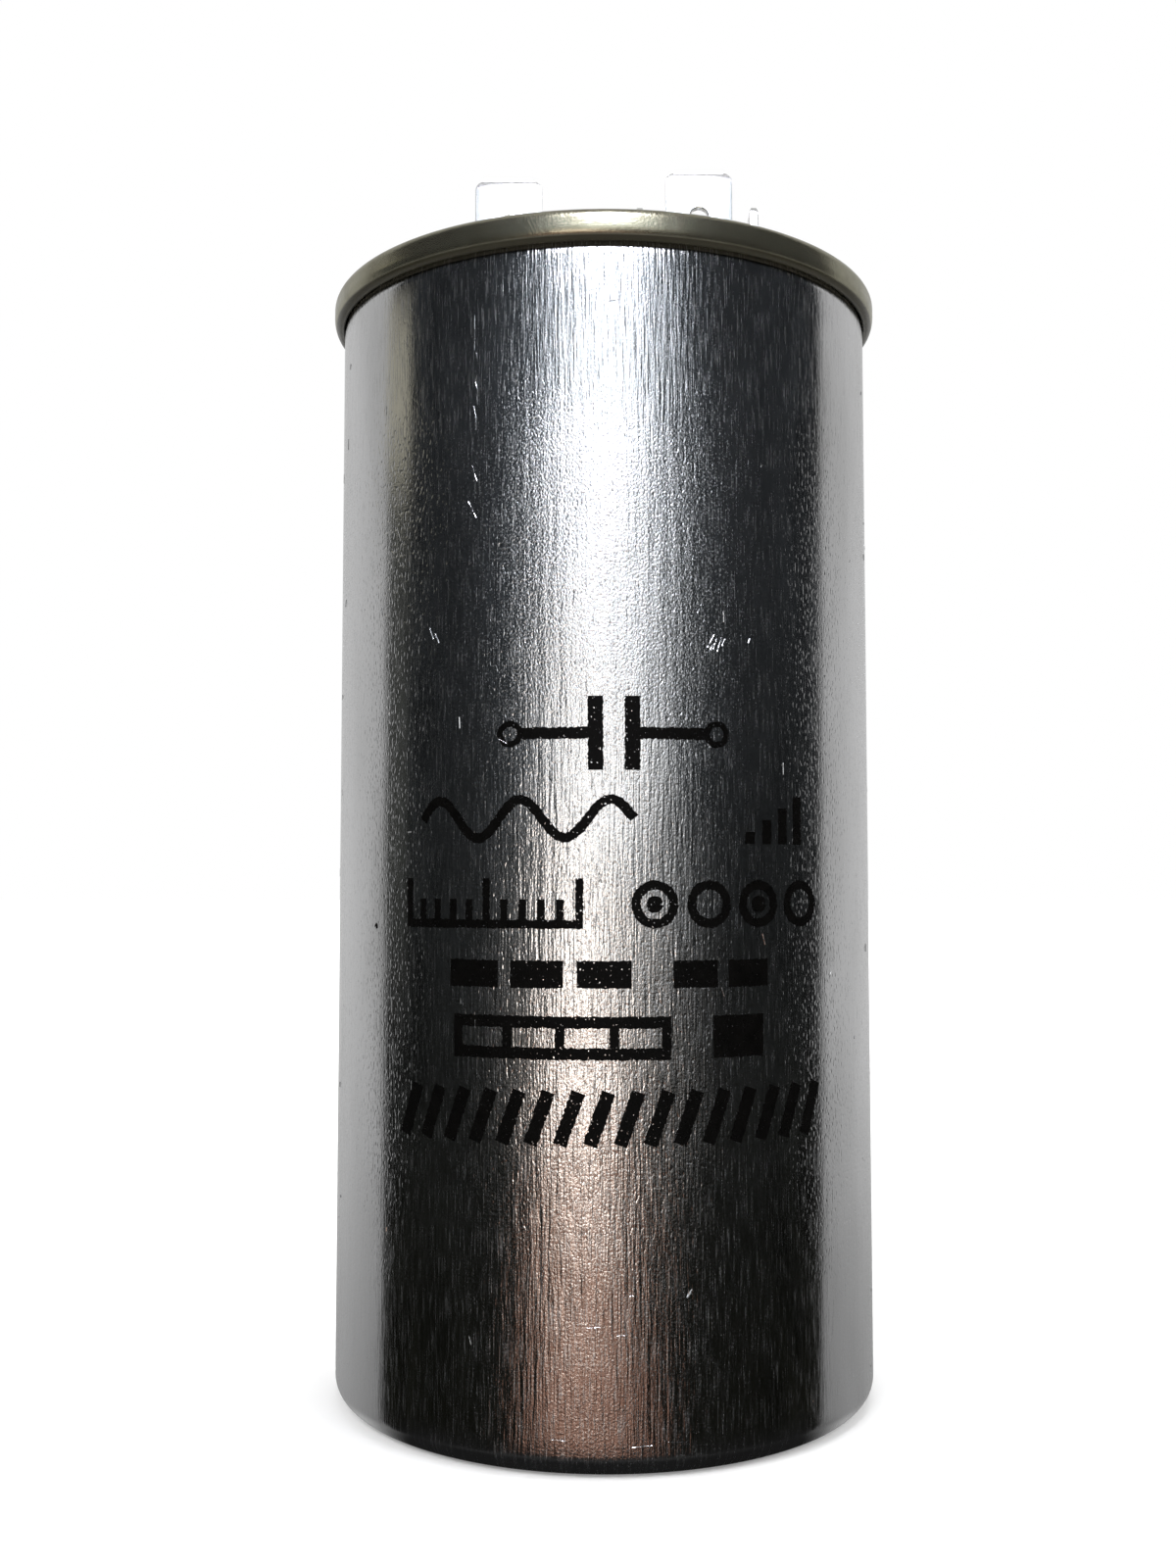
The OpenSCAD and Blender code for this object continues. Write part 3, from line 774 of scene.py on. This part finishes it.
def bushingSection(form, low, high):
    outside = (high.x - low.x) / 2 / mm
    body = outside - form["step"]
    top = high.z / mm
    seat = top - form["slotDeep"]
    flange = panelHigh + form["flangeHigh"]
    creep = (flange + seat - form["creepWide"]) / 2
    soft = form["flangeRound"]
    points = [(form["hole"], low.z / mm), (form["spigot"], low.z / mm), (form["spigot"], panelHigh)]
    points += [(form["sealIn"], panelHigh), (form["sealIn"], panelHigh + form["sealDeep"])]
    points += [(form["sealOut"], panelHigh + form["sealDeep"]), (form["sealOut"], panelHigh)]
    points += [(outside, panelHigh)]
    points += bend((outside - soft, flange - soft), soft, 0, 90, 5)
    points += bend((body + soft, flange + soft), soft, 270, 180, 4)
    points += [(body, creep), (body - form["creepDeep"], creep)]
    points += [(body - form["creepDeep"], creep + form["creepWide"]), (body, creep + form["creepWide"])]
    points += bend((body - form["topRound"], top - form["topRound"]), form["topRound"], 0, 90, 8)
    return points + [(form["hole"], top), (form["hole"], low.z / mm)]


def slotCutter(name, form, middle, top, alongY):
    box = bmesh.new()
    bmesh.ops.create_cube(box, size=1.0)
    size = Vector((form["slotWide"], form["slotLong"], 2 * form["slotDeep"]))
    if not alongY:
        size = Vector((size.y, size.x, size.z))
    for vert in box.verts:
        vert.co = Vector(part * span for part, span in zip(vert.co, size)) + Vector((middle, 0, top))
        vert.co *= mm
    return addGuide(name, outwardMesh(name, box))


for side, middle in terminalMiddles.items():
    node = "terminal_insulator_" + side
    low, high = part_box(node)
    bushing = turnPiece("terminal_bushing_" + side, bushingSection(bushingForm, low, high),
                        bushingForm["segments"], finishOfSlot["insulator_plastic"],
                        axis=(middle * mm, 0, 0))
    cutWith(bushing, slotCutter("slot_" + side, bushingForm, middle, high.z / mm, side == "left"))
    joinPart(bushing, node, bushingForm["sharpTurn"])
print("bushings turned")


# Push-on tabs: bent strips with bevelled tips and latch holes

tabForm = {
    "wide": 6.3,
    "thick": 0.8,
    "bend": 0.6,
    "bendSteps": 8,
    "tipCorner": 1.0,
    "tipBevel": 0.7,
    "tipThick": 0.4,
    "tipSteps": 12,
    "edge": 0.05,    # rounding of the stamped edges
    "edgeMost": 0.8,    # and its most, as a share of half the width or thickness
    "latch": 0.9,
    "latchDrop": 4.3,
    "rivetHole": 1.7,
    "chamfer": 0.08,
    "cutDeep": 2.0,    # length of the cutters for the holes
    "sharpTurn": 30,
}


def stripStations(form, spread, tall):    # (along, high, normal turn, half width, half thickness)
    thick = form["thick"]
    middle = form["bend"] + thick / 2
    tabAt = spread / 2 - thick / 2
    baseHalf = tabAt - middle
    corner = form["tipCorner"]
    tipLow = tall - max(corner, form["tipBevel"])
    half = form["wide"] / 2
    stations = [(0.0, thick / 2, -90, half, thick / 2), (baseHalf, thick / 2, -90, half, thick / 2)]
    for step in range(1, form["bendSteps"] + 1):
        turn = -90 + 90 * step / form["bendSteps"]
        along = baseHalf + middle * math.cos(math.radians(turn))
        high = thick / 2 + middle + middle * math.sin(math.radians(turn))
        stations.append((along, high, turn, half, thick / 2))
    for step in range(form["tipSteps"] + 1):
        high = tipLow + (tall - tipLow) * math.sin(math.pi / 2 * step / form["tipSteps"])
        past = max(0.0, high - (tall - corner))
        narrow = corner - math.sqrt(max(0.0, corner ** 2 - past ** 2))
        bevel = max(0.0, high - (tall - form["tipBevel"])) / form["tipBevel"]
        thin = thick + (form["tipThick"] - thick) * bevel
        stations.append((tabAt, high, 0, half - narrow, thin / 2))
    mirrored = [(-along, high, 180 - turn, wide, thin) for along, high, turn, wide, thin in stations[1:]]
    return mirrored[::-1] + stations


def stripRing(form, halfWide, halfThick):    # rounded rectangle, as (across, through)
    edge = min(form["edge"], form["edgeMost"] * halfThick, form["edgeMost"] * halfWide)
    ring = []
    for corner, (across, through) in enumerate(((1, 1), (-1, 1), (-1, -1), (1, -1))):
        middle = (across * (halfWide - edge), through * (halfThick - edge))
        ring += bend(middle, edge, 90 * corner, 90 * corner + 90, 3)
    return ring


def makeStrip(name, form, node, alongY):
    low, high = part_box(node)
    middle = (low + high) / 2 / mm
    base = low.z / mm
    tall = (high.z - low.z) / mm
    spread = ((high.y - low.y) if alongY else (high.x - low.x)) / mm
    strip = bmesh.new()
    rings = []
    for along, up, turn, halfWide, halfThick in stripStations(form, spread, tall):
        ring = []
        for across, through in stripRing(form, halfWide, halfThick):
            out = along + through * math.cos(math.radians(turn))
            z = base + up + through * math.sin(math.radians(turn))
            flat = (middle.x + across, out) if alongY else (middle.x + out, across)
            ring.append(strip.verts.new(Vector((flat[0], flat[1], z)) * mm))
        rings.append(ring)
    skinLoops(strip, rings)
    mesh = outwardMesh(name, strip)
    mesh.materials.append(finishOfSlot["tab_metal"])
    piece = addObject(name, mesh)
    tabAt = spread / 2 - form["thick"] / 2
    for sign in (-1, 1):
        spot = (middle.x, sign * tabAt) if alongY else (middle.x + sign * tabAt, 0)
        axis = (0, 1, 0) if alongY else (1, 0, 0)
        cutWith(piece, drill(name + "Latch", (*spot, base + tall - form["latchDrop"]), axis, form["latch"],
                             form["cutDeep"], form["chamfer"], form["thick"]))
    cutWith(piece, drill(name + "Rivet", (middle.x, 0, base + form["thick"] / 2), (0, 0, 1),
                         form["rivetHole"], form["cutDeep"]))
    joinPart(piece, node, form["sharpTurn"])


makeStrip("push_on_tabs_left", tabForm, "tab_bracket_left", True)
makeStrip("push_on_tabs_right_lower", tabForm, "tab_bracket_right_lower", False)
makeStrip("push_on_tabs_right_upper", tabForm, "tab_bracket_right_upper", True)
print("tabs bent")


# Rivets

rivetForm = {
    "shank": 1.6,
    "head": 2.8,
    "headHigh": 1.2,
    "tailHigh": 0.9,
    "dimple": 0.7,
    "dimpleDeep": 0.18,
    "segments": 96,
    "sharpTurn": 35,
}


def dome(radius, high, steps=12):    # from the rim to the top of a low dome
    ball = (radius * radius + high * high) / (2 * high)
    reach = math.asin(radius / ball)
    return [(ball * math.sin(reach * (1 - step / steps)),
             high - ball + ball * math.cos(reach * (1 - step / steps))) for step in range(steps + 1)]


def rivetSection(form, low, high):
    headLow = high.z / mm - form["headHigh"]
    tailTop = low.z / mm + form["tailHigh"]
    points = [(radius, tailTop - up) for radius, up in dome(form["head"], form["tailHigh"])[::-1]]
    points += [(form["shank"], tailTop), (form["shank"], headLow)]
    for radius, up in dome(form["head"], form["headHigh"]):
        dent = max(0.0, 1 - (radius / form["dimple"]) ** 2)
        points.append((radius, headLow + up - form["dimpleDeep"] * dent))
    return points


for side, middle in terminalMiddles.items():
    low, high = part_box("rivet_" + side)
    rivet = turnPiece("headed_rivet_" + side, rivetSection(rivetForm, low, high), rivetForm["segments"],
                      finishOfSlot["rivet_metal"], axis=(middle * mm, 0, 0))
    joinPart(rivet, "rivet_" + side, rivetForm["sharpTurn"])
print("rivets turned")


# Printed marks: plain symbols and bars in black ink, with ragged edges

def spaced(start, pitch, count):    # places along the arc
    return [start + pitch * step for step in range(count)]


inkForm = {    # along the arc and up the can, in millimetres
    "lift": 0.02,
    "step": 0.16,    # spacing of the points along an edge
    "ragged": 0.055,    # how far the edges wander
    "seed": 7,
    "wave": {"from": -16.4, "long": 18.6, "level": 52.0, "swing": 1.55, "turns": 2.5, "steps": 150,
             "wide": 0.8},
    # Below, lines are (width, from, to) and rings are (width, middle, radius)
    "sign": [    # the sign for a capacitor: a plate, a lead and a ring on either side
        (1.25, (-0.9, 55.9), (-0.9, 61.9)), (0.95, (-1.5, 58.9), (-7.0, 58.9)), (0.5, (-8.0, 58.9), 0.85),
        (1.25, (2.1, 55.9), (2.1, 61.9)), (0.95, (2.7, 58.9), (8.2, 58.9)), (0.5, (9.2, 58.9), 0.85),
    ],
    "bars": [(0.95, (at, 50.0), (at, 51.0 + step)) for step, at in enumerate(spaced(12.3, 1.7, 4))],
    "rule": [(0.7, (-18.2, 43.5), (-1.9, 43.5))],
    "ticks": [(0.62, (at, 43.7), (at, 45.5 if step % 5 else 47.2))
              for step, at in enumerate(spaced(-17.9, 1.57, 11))],
    "rings": [    # every other one has a dot
        (0.75, (3.9, 45.1), 1.55), (0.7, (3.9, 45.1), 0.35), (0.75, (8.5, 45.1), 1.55),
        (0.75, (13.1, 45.1), 1.55), (0.7, (13.1, 45.1), 0.35), (0.75, (17.7, 45.1), 1.55),
    ],
    "blocks": [(2.2, (left, 39.5), (right, 39.5)) for left, right in (
        (-13.4, -9.0), (-7.9, -3.5), (-2.4, 2.0), (5.4, 9.2), (10.2, 14.0))],
    "gaugeRules": [(0.95, (-13.0, level), (5.2, level)) for level in (35.7, 33.2)],
    "gaugePosts": [(0.8, (at, 33.6), (at, 35.3)) for at in (-12.6, -8.2, -3.8, 0.6, 4.8)],
    "gaugeBlock": [(3.4, (8.8, 34.45), (13.5, 34.45))],
    "fleck": [(0.22, (-22.7, 43.1), 0.12)],    # a stray one
    "slants": [(1.15, (at, 26.0), (at + 1.5, 30.2)) for at in spaced(-18.3, 2.42, 16)],
}
inkFinish = {
    "dark": (0.0006, 0.0006, 0.0005),
    "pale": (0.0024, 0.0021, 0.0017),
    "cloudCell": (1.2 * mm, 1.2 * mm, 1.0),
    "holeCell": (0.22 * mm, 0.26 * mm, 1.0),    # pinholes that bare the metal
    "holeLimits": (0.27, 0.33),
    "roughness": 0.45,
    "cloudDull": 0.2,
    "shine": 0.05,
}


def makeInk(look):
    finish, wire = newFinish("blackInk")
    wall = wallPlace(wire)
    holes = stretchNoise(wire, wall, look["holeCell"], detail=1.0)
    cloud = stretchNoise(wire, wall, look["cloudCell"])
    closeFinish(wire, {"Base Color": mixColour(wire, cloud, look["dark"], look["pale"]),
                       "Roughness": look["roughness"] + look["cloudDull"] * cloud,
                       "Specular IOR Level": look["shine"], "Alpha": holes.ease(*look["holeLimits"])})
    return finish


class FlatSheet:    # ribbons drawn flat: X along the arc, Z up, Y into the wall
    def __init__(self, seed, step, ragged, lift=0.0):
        self.form = bmesh.new()
        self.chance = random.Random(seed)
        self.step = step
        self.ragged = ragged
        self.lift = lift

    def ribbon(self, points, wide, ridge=0.0):
        points = [Vector(point) for point in points]
        previous = None
        for index, point in enumerate(points):
            before = points[max(0, index - 1)]
            after = points[min(len(points) - 1, index + 1)]
            side = (after - before).normalized().orthogonal()
            row = []
            for share in (-1, 0, 1):
                stray = self.chance.uniform(-self.ragged, self.ragged) if share else 0.0
                spot = point + side * (share * wide / 2 + stray)
                depth = self.lift + (ridge if share == 0 else 0.0)
                row.append(self.form.verts.new(Vector((spot.x, -depth, spot.y)) * mm))
            if previous:
                self.form.faces.new((previous[0], row[0], row[1], previous[1]))
                self.form.faces.new((previous[1], row[1], row[2], previous[2]))
            previous = row

    def line(self, start, end, wide, ridge=0.0):
        steps = max(2, round((Vector(end) - Vector(start)).length / self.step))
        self.ribbon([start] + run(start, end, steps) + [end], wide, ridge)

    def ring(self, middle, radius, wide):
        steps = max(16, round(2 * math.pi * radius / self.step))
        self.ribbon(bend(middle, radius, 0, 360, steps), wide)

    def draw(self, marks):    # lines and rings of a table
        for wide, start, end in marks:
            if isinstance(end, tuple):
                self.line(start, end, wide)
            else:
                self.ring(start, end, wide)

    def finish(self, name):
        mesh = bpy.data.meshes.new(name)
        for face in self.form.faces:
            face.normal_update()
            if face.normal.y > 0:
                face.normal_flip()
        self.form.to_mesh(mesh)
        self.form.free()
        return addGuide(name, mesh)


def drawMarks(form):
    sheet = FlatSheet(form["seed"], form["step"], form["ragged"], form["lift"])
    sheet.draw(form["sign"])
    wave = form["wave"]
    crests = []
    for step in range(wave["steps"] + 1):
        share = step / wave["steps"]
        swing = wave["swing"] * math.sin(2 * math.pi * wave["turns"] * share)
        crests.append((wave["from"] + wave["long"] * share, wave["level"] + swing))
    sheet.ribbon(crests, wave["wide"])
    for group in ("bars", "rule", "ticks", "rings", "blocks", "gaugeRules", "gaugePosts", "gaugeBlock",
                  "fleck", "slants"):
        sheet.draw(form[group])
    return sheet.finish("marksFlat")


def makeInkTree():
    tree, wire, given = newTree("wrapInk", wallInputs)
    closeWrapped(wire, given, shapeOf(wire, given, "Flat"))
    return tree


wallValues = {
    "Radius": canRadius, "Wave": canForm["wave"] * mm,
    "Wave Cell": tuple(size * mm for size in canForm["waveCell"]),
}
sheetSharp = 60    # degrees, for the pieces that lie on the wall
inkMarks = growPiece("printed_marks", makeInkTree(), {
    "Flat": drawMarks(inkForm), "Finish": makeInk(inkFinish), **wallValues})
settlePiece(inkMarks, sheetSharp, closed=False)
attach(inkMarks, "root")
print("marks printed:", len(inkMarks.data.polygons), "faces")


# Nicks: the scratches seen on the wall, and scattered small ones

nickForm = {
    "perSquareMetre": 9000,
    "seed": 11,
    "step": 0.2,
    "ragged": 0.01,
    "wide": 0.095,
    "ridge": 0.03,
    "sliver": 1.1,    # longest of the scattered ones
    "sizes": (0.25, 1.0),    # least and most of its width; squared for its length
    "swing": 1.6,    # most radians from upright
    "ground": (2.5, 97.0),    # heights between which they lie
    "fineWide": 0.04,
    "fine": [    # strokes through (arc, height), in degrees round the can and millimetres up it
        [(-26.0, 94.1), (-26.0, 91.1)], [(-25.6, 90.9), (-25.4, 90.4)],
        [(-25.4, 89.0), (-25.8, 88.4), (-25.4, 87.8)], [(-25.5, 87.2), (-25.3, 86.5)],
        [(-26.1, 86.4), (-25.6, 85.4), (-25.6, 84.4)], [(-26.4, 81.4), (-25.3, 80.0)],
        [(-27.2, 78.4), (-25.5, 77.0)], [(8.4, 93.0), (13.7, 92.1)],
        [(2.5, 14.2), (4.8, 14.3)], [(-3.6, 11.8), (-1.1, 11.9)], [(1.75, 11.2), (3.2, 11.25)],
        [(-10.0, 3.1), (-7.6, 3.05)], [(4.5, 2.6), (8.2, 2.7)], [(11.0, 2.9), (14.7, 2.75)],
    ],
    "bold": [
        [(-36.3, 68.2), (-35.3, 67.2)], [(-34.8, 67.6), (-33.9, 66.8)],
        [(19.3, 66.0), (20.7, 67.1)], [(19.7, 65.7), (20.5, 66.3)], [(20.5, 65.9), (21.2, 66.8)],
        [(21.3, 65.7), (22.2, 66.9)], [(22.3, 66.2), (23.0, 66.8)], [(28.0, 66.6), (28.4, 67.0)],
        [(14.7, 14.0), (15.7, 14.6)], [(14.9, 14.0), (15.5, 14.4)],
    ],
}


def drawNicks(form):
    sheet = FlatSheet(form["seed"], form["step"], form["ragged"])
    perDegree = math.radians(1) * canForm["radius"]
    for strokes, wide in ((form["bold"], form["wide"]), (form["fine"], form["fineWide"])):
        for stroke in strokes:
            points = [(turn * perDegree, high) for turn, high in stroke]
            for start, end in zip(points, points[1:]):
                sheet.line(start, end, wide, form["ridge"] * wide / form["wide"])
    return sheet.finish("nicksFlat")


def drawSliver(form):
    sheet = FlatSheet(form["seed"], form["step"], 0.0)
    half = form["sliver"] / 2
    sheet.line((0, -half), (0, half), form["wide"], form["ridge"])
    return sheet.finish("sliver")


def nickGround(form):    # the wall, unrolled
    half = math.radians(180) * canRadius
    low, high = (level * mm for level in form["ground"])
    corners = [(-half, 0, low), (half, 0, low), (half, 0, high), (-half, 0, high)]
    return addGuide("nickGround", faceMesh("nickGround", corners))


def randomBetween(wire, low, high, seed):
    return wire.node("FunctionNodeRandomValue", {"data_type": "FLOAT"}, {
        "Min": low, "Max": high, "Seed": seed})


def makeNickTree(form):
    tree, wire, given = newTree("scatterNicks", wallInputs + [
        ("Ground", "Object"), ("Sliver", "Object"), ("Count", "Int"), ("Seed", "Int")])
    seed = given.out("Seed")
    points = wire.node("GeometryNodeDistributePointsOnFaces", {"distribute_method": "RANDOM"}, {
        "Mesh": shapeOf(wire, given, "Ground"), "Density": given.out("Count"), "Seed": seed}, "Points")
    tilt = randomBetween(wire, -1.0, 1.0, seed + 1)
    size = randomBetween(wire, *form["sizes"], seed + 2)
    placed = wire.node("GeometryNodeInstanceOnPoints", {}, {
        "Points": points, "Instance": shapeOf(wire, given, "Sliver"),
        "Rotation": wire.vector(0.0, tilt * tilt * tilt * form["swing"], 0.0),
        "Scale": wire.vector(size, 1.0, size * size)})
    scattered = wire.node("GeometryNodeRealizeInstances", {}, {"Geometry": placed})
    joined = wire.node("GeometryNodeJoinGeometry", {}, {"Geometry": scattered})
    tree.links.new(shapeOf(wire, given, "Flat").socket, joined.socket.node.inputs["Geometry"])
    closeWrapped(wire, given, joined)
    return tree


nicks = growPiece("wall_nicks", makeNickTree(nickForm), {
    "Flat": drawNicks(nickForm), "Ground": nickGround(nickForm), "Sliver": drawSliver(nickForm),
    "Count": nickForm["perSquareMetre"], "Seed": nickForm["seed"], "Finish": finishOfSlot["can_metal"],
    **wallValues})
settlePiece(nicks, sheetSharp, closed=False)
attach(nicks, "root")
print("nicks placed:", len(nicks.data.polygons), "faces")


# Studio: pale floor and world, soft lamps, and cards that show only in the metal

studio = {
    "floorSize": 6.0,
    "floorShade": 0.82,
    "floorLift": 0.2,    # added to what the camera sees of the floor
    "floorFade": (0.10, 0.45),    # from here to here the floor turns to plain white
    "worldCamera": 1.0,
    "worldDiffuse": 0.6,
    "worldGloss": (0.43, 0.62),    # towards the front and towards the back
    "worldGlossDip": (0.06, 0.34, 0.42, 0.60),    # it is darker for rays that fall this steeply
    "worldGlossDim": 0.42,
}


def makeFloor(settings):
    finish, wire = newFinish("paleFloor")
    shade = settings["floorShade"]
    seen = wire.node("LightPath", {}, {}, "Is Camera Ray")
    lift = fromMiddle(wire).ease(*settings["floorFade"]).span(settings["floorLift"], 1.0)
    matte = wire.node("BsdfDiffuse", {}, {"Color": (shade, shade, shade, 1.0)})
    glow = wire.node("Emission", {}, {"Color": (1, 1, 1, 1), "Strength": seen * lift})
    both = wire.node("AddShader", {}, {0: matte, 1: glow})
    wire.node("OutputMaterial", {}, {"Surface": both})
    half = settings["floorSize"] / 2
    mesh = faceMesh("floor", [(-half, -half, 0), (half, -half, 0), (half, half, 0), (-half, half, 0)])
    mesh.materials.append(finish)
    floor = addObject("floor", mesh)
    floor.visible_glossy = False


def makeWorld(settings):
    world = bpy.data.worlds.new("paleStudio")
    scene.world = world
    world.use_nodes = True
    world.node_tree.nodes.clear()
    wire = Wire(world.node_tree)
    path = wire.node("LightPath")
    camera = wire.math("MAXIMUM", path.out("Is Camera Ray"), path.out("Is Transmission Ray"))
    gloss = path.out("Is Glossy Ray")
    back, up = wire.node("TexCoord", {}, {}, "Generated").split()[1:]
    fall = up * -1.0
    dip = settings["worldGlossDip"]
    dim = fall.ease(*dip[:2]) * (1 - fall.ease(*dip[2:])) * settings["worldGlossDim"]
    glossLevel = back.ease(0.0, 1.0).span(*settings["worldGloss"]) * (1 - dim)
    level = camera * settings["worldCamera"] + gloss * glossLevel
    level = level + (1 - camera) * (1 - gloss) * settings["worldDiffuse"]
    glow = wire.node("Background", {}, {"Color": (1, 1, 1, 1), "Strength": level})
    wire.node("OutputWorld", {}, {"Surface": glow})


cardPlain = {    # what a card has where it says nothing else
    "lean": (0.0, 0.0),    # degrees by which its foot is wider than its head, left and right
    "rise": (0.0, 1.0),    # shares of its height between which the colour changes
    "softSide": 0.5,
    "mottle": (1.0, 1.0, 1.0),    # dim and bright spots that the wall's grain picks up, and their size
    "spotLimits": (0.40, 0.60),
    "steps": 48,
}
cards = [
    {"name": "darkFlag", "radius": 0.84, "from": -101.7, "to": 105.6, "low": -0.62, "high": 1.7,
     "lean": (9.0, -15.5), "lowColour": (0.0040, 0.0041, 0.0029), "highColour": (0.0132, 0.0148, 0.0165),
     "rise": (0.14, 0.44), "softSide": 0.006, "softEnd": (0.06, 0.06), "mottle": (0.15, 2.5, 0.04)},
    {"name": "sideStrip", "radius": 0.83, "from": -104.5, "to": -89.5, "low": -0.10, "high": 0.44,
     "lowColour": (0.042, 0.044, 0.04), "highColour": (0.42, 0.40, 0.325),
     "rise": (0.68, 0.77), "softSide": 0.04, "softEnd": (0.3, 0.15)},
    {"name": "sideGlow", "radius": 0.81, "from": -57.0, "to": 53.0, "low": -0.15, "high": 0.80,
     "lowColour": (0.19, 0.185, 0.175), "highColour": (0.06, 0.075, 0.09),
     "rise": (0.12, 0.30), "softEnd": (0.12, 0.3), "mottle": (0.25, 2.1, 0.04)},
    {"name": "softbox", "radius": 0.80, "from": -26.6, "to": 28.6, "low": -0.01, "high": 1.6,
     "lean": (16.0, 16.0), "lowColour": (1.78, 1.80, 1.81), "highColour": (1.88, 2.07, 2.30),
     "rise": (0.14, 0.25), "softEnd": (0.11, 0.11)},
    {"name": "dimGlow", "radius": 0.79, "from": -34.0, "to": 23.0, "low": -0.20, "high": 0.13,
     "lean": (0.0, -6.0), "lowColour": (0.49, 0.38, 0.30), "highColour": (0.55, 0.545, 0.53),
     "softSide": 0.45, "softEnd": (0.45, 0.45)},
    {"name": "lowGlow", "radius": 0.78, "from": -21.5, "to": 0.5, "low": -0.255, "high": 0.105,
     "lowColour": (1.60, 1.13, 0.89), "highColour": (6.6, 6.0, 5.5),
     "rise": (0.40, 0.72), "softEnd": (0.35, 0.35)},
    {"name": "warmBounce", "radius": 0.76, "from": -35.0, "to": 20.5, "low": -0.38, "high": -0.12,
     "lean": (14.0, 14.0), "lowColour": (0.40, 0.212, 0.152), "highColour": (0.44, 0.255, 0.19),
     "rise": (0.5, 1.0), "softSide": 0.2, "softEnd": (0.6, 0.37)},
    {"name": "crestGlow", "radius": 0.77, "from": -18.0, "to": 20.0, "low": 0.49, "high": 1.6,
     "lowColour": (27.0, 27.0, 30.0), "highColour": (30.0, 30.0, 34.0), "softEnd": (0.07, 0.2)},
    {"name": "backStrip", "radius": 0.80, "from": 157.0, "to": 203.0, "low": -0.30, "high": 1.4,
     "lowColour": (1.0, 1.0, 1.0), "highColour": (1.2, 1.2, 1.2), "softSide": 0.4, "softEnd": (0.2, 0.2)},
]


def makeCard(settings):
    card = {**cardPlain, **settings}
    finish, wire = newFinish(card["name"])
    across, up = wire.node("UVMap", {"uv_map": "spread"}).split()[:2]
    soft = across.ease(0.0, card["softSide"]) * (1 - across.ease(1 - card["softSide"], 1.0))
    soft = soft * up.ease(0.0, card["softEnd"][0]) * (1 - up.ease(1 - card["softEnd"][1], 1.0))
    colour = mixColour(wire, up.ease(*card["rise"]), card["lowColour"], card["highColour"])
    dim, bright, cell = card["mottle"]
    spots = stretchNoise(wire, objectPlace(wire), cell, detail=3.0).ease(*card["spotLimits"])
    closeGlow(wire, soft, colour, spots.span(dim, bright))
    mesh = bpy.data.meshes.new(card["name"])
    steps = card["steps"]
    points = []
    for step in range(steps + 1):
        share = step / steps
        for high, side in ((card["low"], 0.5), (card["high"], -0.5)):
            left = card["from"] - side * card["lean"][0]
            right = card["to"] + side * card["lean"][1]
            turn = math.radians(left + (right - left) * share)
            points.append((card["radius"] * math.sin(turn), -card["radius"] * math.cos(turn), high))
    faces = [(2 * step, 2 * step + 2, 2 * step + 3, 2 * step + 1) for step in range(steps)]
    mesh.from_pydata(points, [], faces)
    spread = mesh.uv_layers.new(name="spread")
    for loop in mesh.loops:
        spread.data[loop.index].uv = (loop.vertex_index // 2 / steps, loop.vertex_index % 2)
    stageInGloss(mesh, finish)


def stageInGloss(mesh, finish):    # seen only as a reflection
    mesh.materials.append(finish)
    sheet = addObject(mesh.name, mesh)
    for kind in ("camera", "diffuse", "transmission", "volume_scatter", "shadow"):
        setattr(sheet, "visible_" + kind, False)


contact = {    # shaded floor at the front of the foot, in metres
    "from": 0.0260,
    "to": 0.034,
    "side": (0.75, 1.12),    # it ends at the sides between these radians from the front
    "drop": 0.0002,
    "shade": 0.012,
    "steps": 96,
}


def makeContact(settings):
    finish, wire = newFinish("contactShade")
    shade = settings["shade"]
    aside = wire.math("ABSOLUTE", roundTurn(wire)).ease(*settings["side"])
    shown = (1 - fromMiddle(wire).ease(settings["from"], settings["to"])) * (1 - aside)
    closeGlow(wire, shown, (shade, shade, shade, 1.0), 1.0)
    rim = bend((0, 0), settings["to"], 0, 360, settings["steps"])[:-1]
    stageInGloss(faceMesh("contactShade", [(x, y, -settings["drop"]) for x, y in rim]), finish)


lampAim = (0, 0, 0.05)
lamps = [
    {"name": "keyLamp", "place": (-0.45, -0.55, 0.75), "size": 0.5, "watts": 5.0},
    {"name": "fillLamp", "place": (0.6, -0.3, 0.5), "size": 0.6, "watts": 3.0},
    {"name": "topLamp", "place": (0.1, 0.35, 0.9), "size": 0.6, "watts": 4.0},
]


def makeLamp(settings):
    data = bpy.data.lights.new(settings["name"], "AREA")
    data.size = settings["size"]
    data.energy = settings["watts"]
    lamp = addObject(settings["name"], data)
    lamp.location = settings["place"]
    lamp.rotation_euler = (Vector(lampAim) - lamp.location).to_track_quat("-Z", "Y").to_euler()
    lamp.visible_glossy = False


makeFloor(studio)
makeWorld(studio)
makeContact(contact)
for card in cards:
    makeCard(card)
for settings in lamps:
    makeLamp(settings)
print("studio set:", len(cards), "cards,", len(lamps), "lamps")
